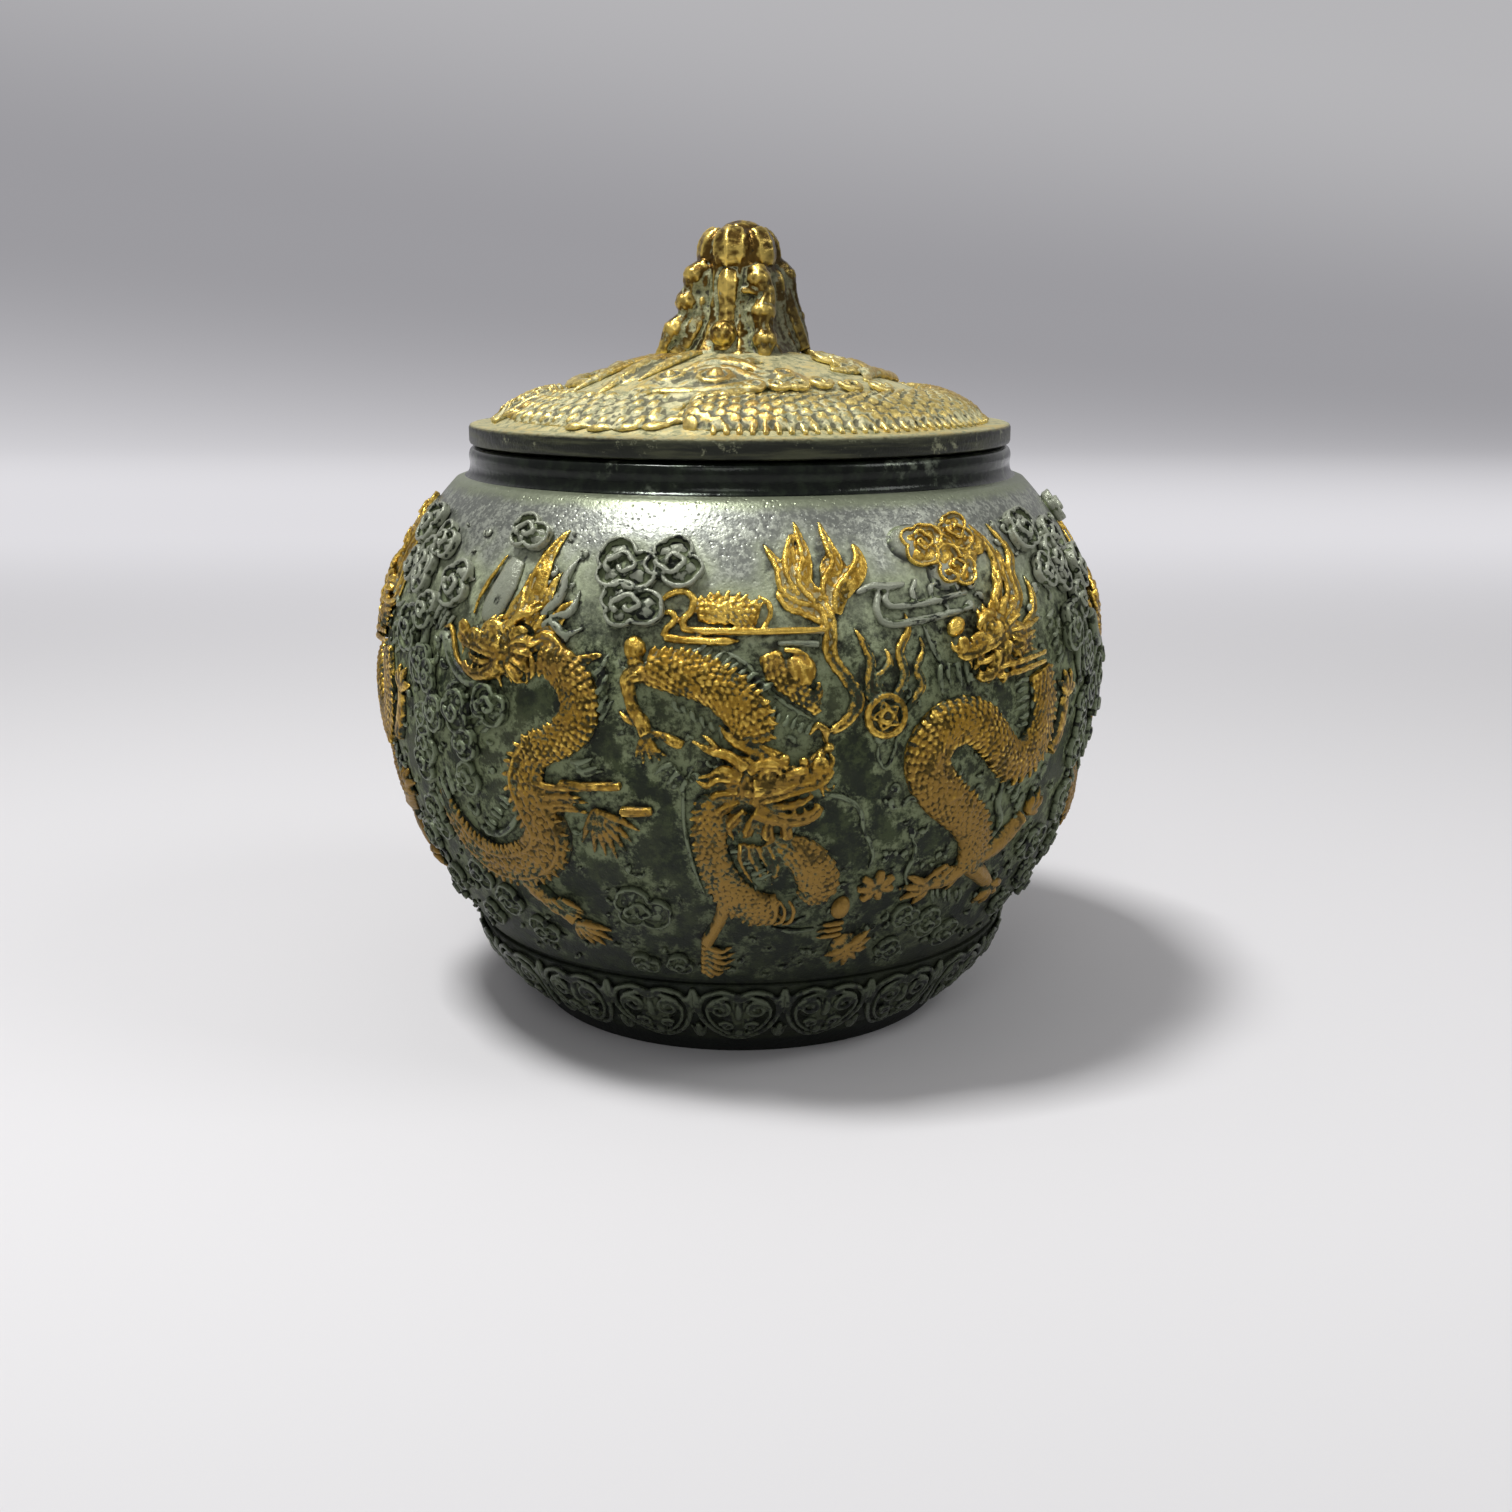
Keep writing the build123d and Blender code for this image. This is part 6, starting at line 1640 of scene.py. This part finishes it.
for finger in fingers:
    wax.cord(finger, 0.6)
    wax.cord([[x * 0.74, y * 0.74, z - 0.6, radius * 1.15] for x, y, z, radius in finger[:-1]], 0.8)
    for x, y, z, radius in finger[1:-2:2]:
        wax.lump((x, y, z), (radius * 1.12, radius * 1.12, radius))
wax.cord([[0.9, -8.6, 174.2, 0.9], [3.6, -9.6, 173.9, 1.1], [6.8, -9.8, 172.6, 1.3]], 0.5)
cast_lid_piece(wax, "knob_column", knob_gilt, ["knob_core", "knob_digits"], voxel=0.36, most=60000)

wax = Wax(Free(), root=150)
wax.lump((-3.8, -11.4, 164), (3.4, 3.4, 3.4))
cast_lid_piece(wax, "knob_pearl", knob_gilt, ["knob_ball"], voxel=0.3, most=4000)

# %% [markdown]
# ## Dust round the relief
#
# Polishing can't reach the ground close to the relief, so pale green dust stays there. Every point of
# the wall keeps its distance to the nearest point of the relief, as one more measure.

# %% Distance from the ground to the relief
FARTHEST = 50


def measure_near(mesh, names, every):
    """Store how many millimetres each point is from the casts of the given names, read by every so many."""
    casts = [o.data for o in bpy.context.scene.objects if o.name.startswith(names)]
    points = np.vstack([read_points(cast)[::every] for cast in casts])
    tree = KDTree(len(points))
    for number, point in enumerate(points):
        tree.insert(point, number)
    tree.balance()
    values = np.array([tree.find(vert.co)[2] / MM for vert in mesh.vertices])
    store(mesh, "near", np.minimum(values, FARTHEST))
    print(mesh.name, "mean distance", round(float(values.mean()), 1), "mm")


measure_near(jar_mesh, ("diving", "climbing", "coiling", "upper", "lower", "flaming"), 5)

# %% [markdown]
# ## Stage, light and finish
#
# The floor is one sheet that sweeps up behind the jar, as in a photographer's booth. Its colour is a
# painted fall-off of light, from near white in front to grey at the back and lighter again high on the
# backdrop, and darker on the floor nearest the camera; the far part glows with that colour for camera and
# glossy rays, so that the lamps' fall-off can't stripe it. One soft lamp stands high on the left, a weaker one
# on the right and a broad one in front, and the world fills the shadows.

# %% Floor and backdrop
floor_front, floor_back, sweep_radius, backdrop_top, floor_width = -3.0, 1.9, 1.1, 3.4, 8.0

sweep = [(floor_front, 0.0), (floor_back, 0.0)]
for turn in np.linspace(0, pi / 2, 25)[1:]:
    sweep.append((floor_back + sweep_radius * sin(turn), sweep_radius - sweep_radius * cos(turn)))
sweep.append((floor_back + sweep_radius, backdrop_top))
bm = bmesh.new()
strip = [bm.verts.new((-floor_width / 2, y, z)) for y, z in sweep]
edges = [bm.edges.new(pair) for pair in zip(strip, strip[1:])]
drawn = bmesh.ops.extrude_edge_only(bm, edges=edges)
moved = [item for item in drawn["geom"] if isinstance(item, bmesh.types.BMVert)]
bmesh.ops.translate(bm, vec=(floor_width, 0.0, 0.0), verts=moved)
bmesh.ops.recalc_face_normals(bm, faces=bm.faces)
floor_mesh = bpy.data.meshes.new("floor")
bm.to_mesh(floor_mesh)
bm.free()
floor_mesh.polygons.foreach_set("use_smooth", [True] * len(floor_mesh.polygons))
floor = bpy.data.objects.new("floor", floor_mesh)
bpy.context.scene.collection.objects.link(floor)
print("floor", len(floor_mesh.polygons), "faces")

# %% Colour of the floor and the backdrop
f = Finish("floor")
side, depth, rise = (f.add("SeparateXYZ", way, {0: f.places}) for way in "XYZ")
# Painted fall-off of light: the far floor and the backdrop go from near white to grey and lighten again high up, and
# glow with it.
back = f.weigh(depth, (rise, 1.4), (side, 0.3), 0.15)
seen = f.colour(f.step(back, 1.3, 2.9), (0.74, 0.73, 0.76), (0.33, 0.325, 0.345))
seen = f.colour(f.step(back, 3.1, 4.2), seen, (0.47, 0.465, 0.48))
# Painted fall-off of light: the floor nearest the camera is painted darker.
plain = f.colour(f.step(depth, -0.10, -0.34), (0.72, 0.71, 0.72), (0.60, 0.592, 0.60))
f.done(f.over(plain, (0.55, 0.55, 0.55), f.noise(300.0, 3.0), 0.14), 0.0, 0.7)
glow = f.add("Emission", 0, {"Color": seen})
shown = f.add("LightPath", "Is Camera Ray", {})
for kind in ("Is Glossy Ray", "Is Transmission Ray"):
    shown = f.math("MAXIMUM", shown, f.add("LightPath", kind, {}))
far = f.math("MULTIPLY", f.step(depth, 0.25, 1.0), shown)
mixed = f.add("MixShader", 0, {0: far, 1: f.shader.outputs[0], 2: glow})
f.join(mixed, f.tree.nodes["Material Output"].inputs["Surface"])
floor_mesh.materials.append(f.material)

# %% Lamps and world


def add_lamp(name, place, target, power, size):
    """A square soft lamp at a place, turned to a target, both in metres."""
    data = bpy.data.lights.new(name, "AREA")
    data.energy = power
    data.size = size
    lamp = bpy.data.objects.new(name, data)
    lamp.location = place
    lamp.rotation_euler = (Vector(target) - Vector(place)).to_track_quat("-Z", "Y").to_euler()
    bpy.context.scene.collection.objects.link(lamp)


add_lamp("high_left_lamp", (-0.33, -0.14, 1.15), (0, 0, 0.1), 11.5, 0.24)
add_lamp("right_lamp", (1.0, -0.3, 1.0), (0, 0, 0.08), 3.4, 0.5)
add_lamp("front_lamp", (-0.3, -2.4, 1.8), (0, 0, 0.08), 7.0, 1.0)
world = bpy.data.worlds.new("world")
bpy.context.scene.world = world
world.use_nodes = True
world.node_tree.nodes["Background"].inputs[0].default_value = (0.80, 0.80, 0.82, 1)
world.node_tree.nodes["Background"].inputs[1].default_value = 0.38
bpy.context.scene.view_settings.view_transform = "Standard"
print("lamps:", [light.name for light in bpy.data.lights])

# %% Finishes of the solids that stay
for node in frame["nodes"].values():
    node.data.materials.clear()
    node.data.materials.append(dark_bronze)
print(len(frame["nodes"]), "solids have the dark bronze")
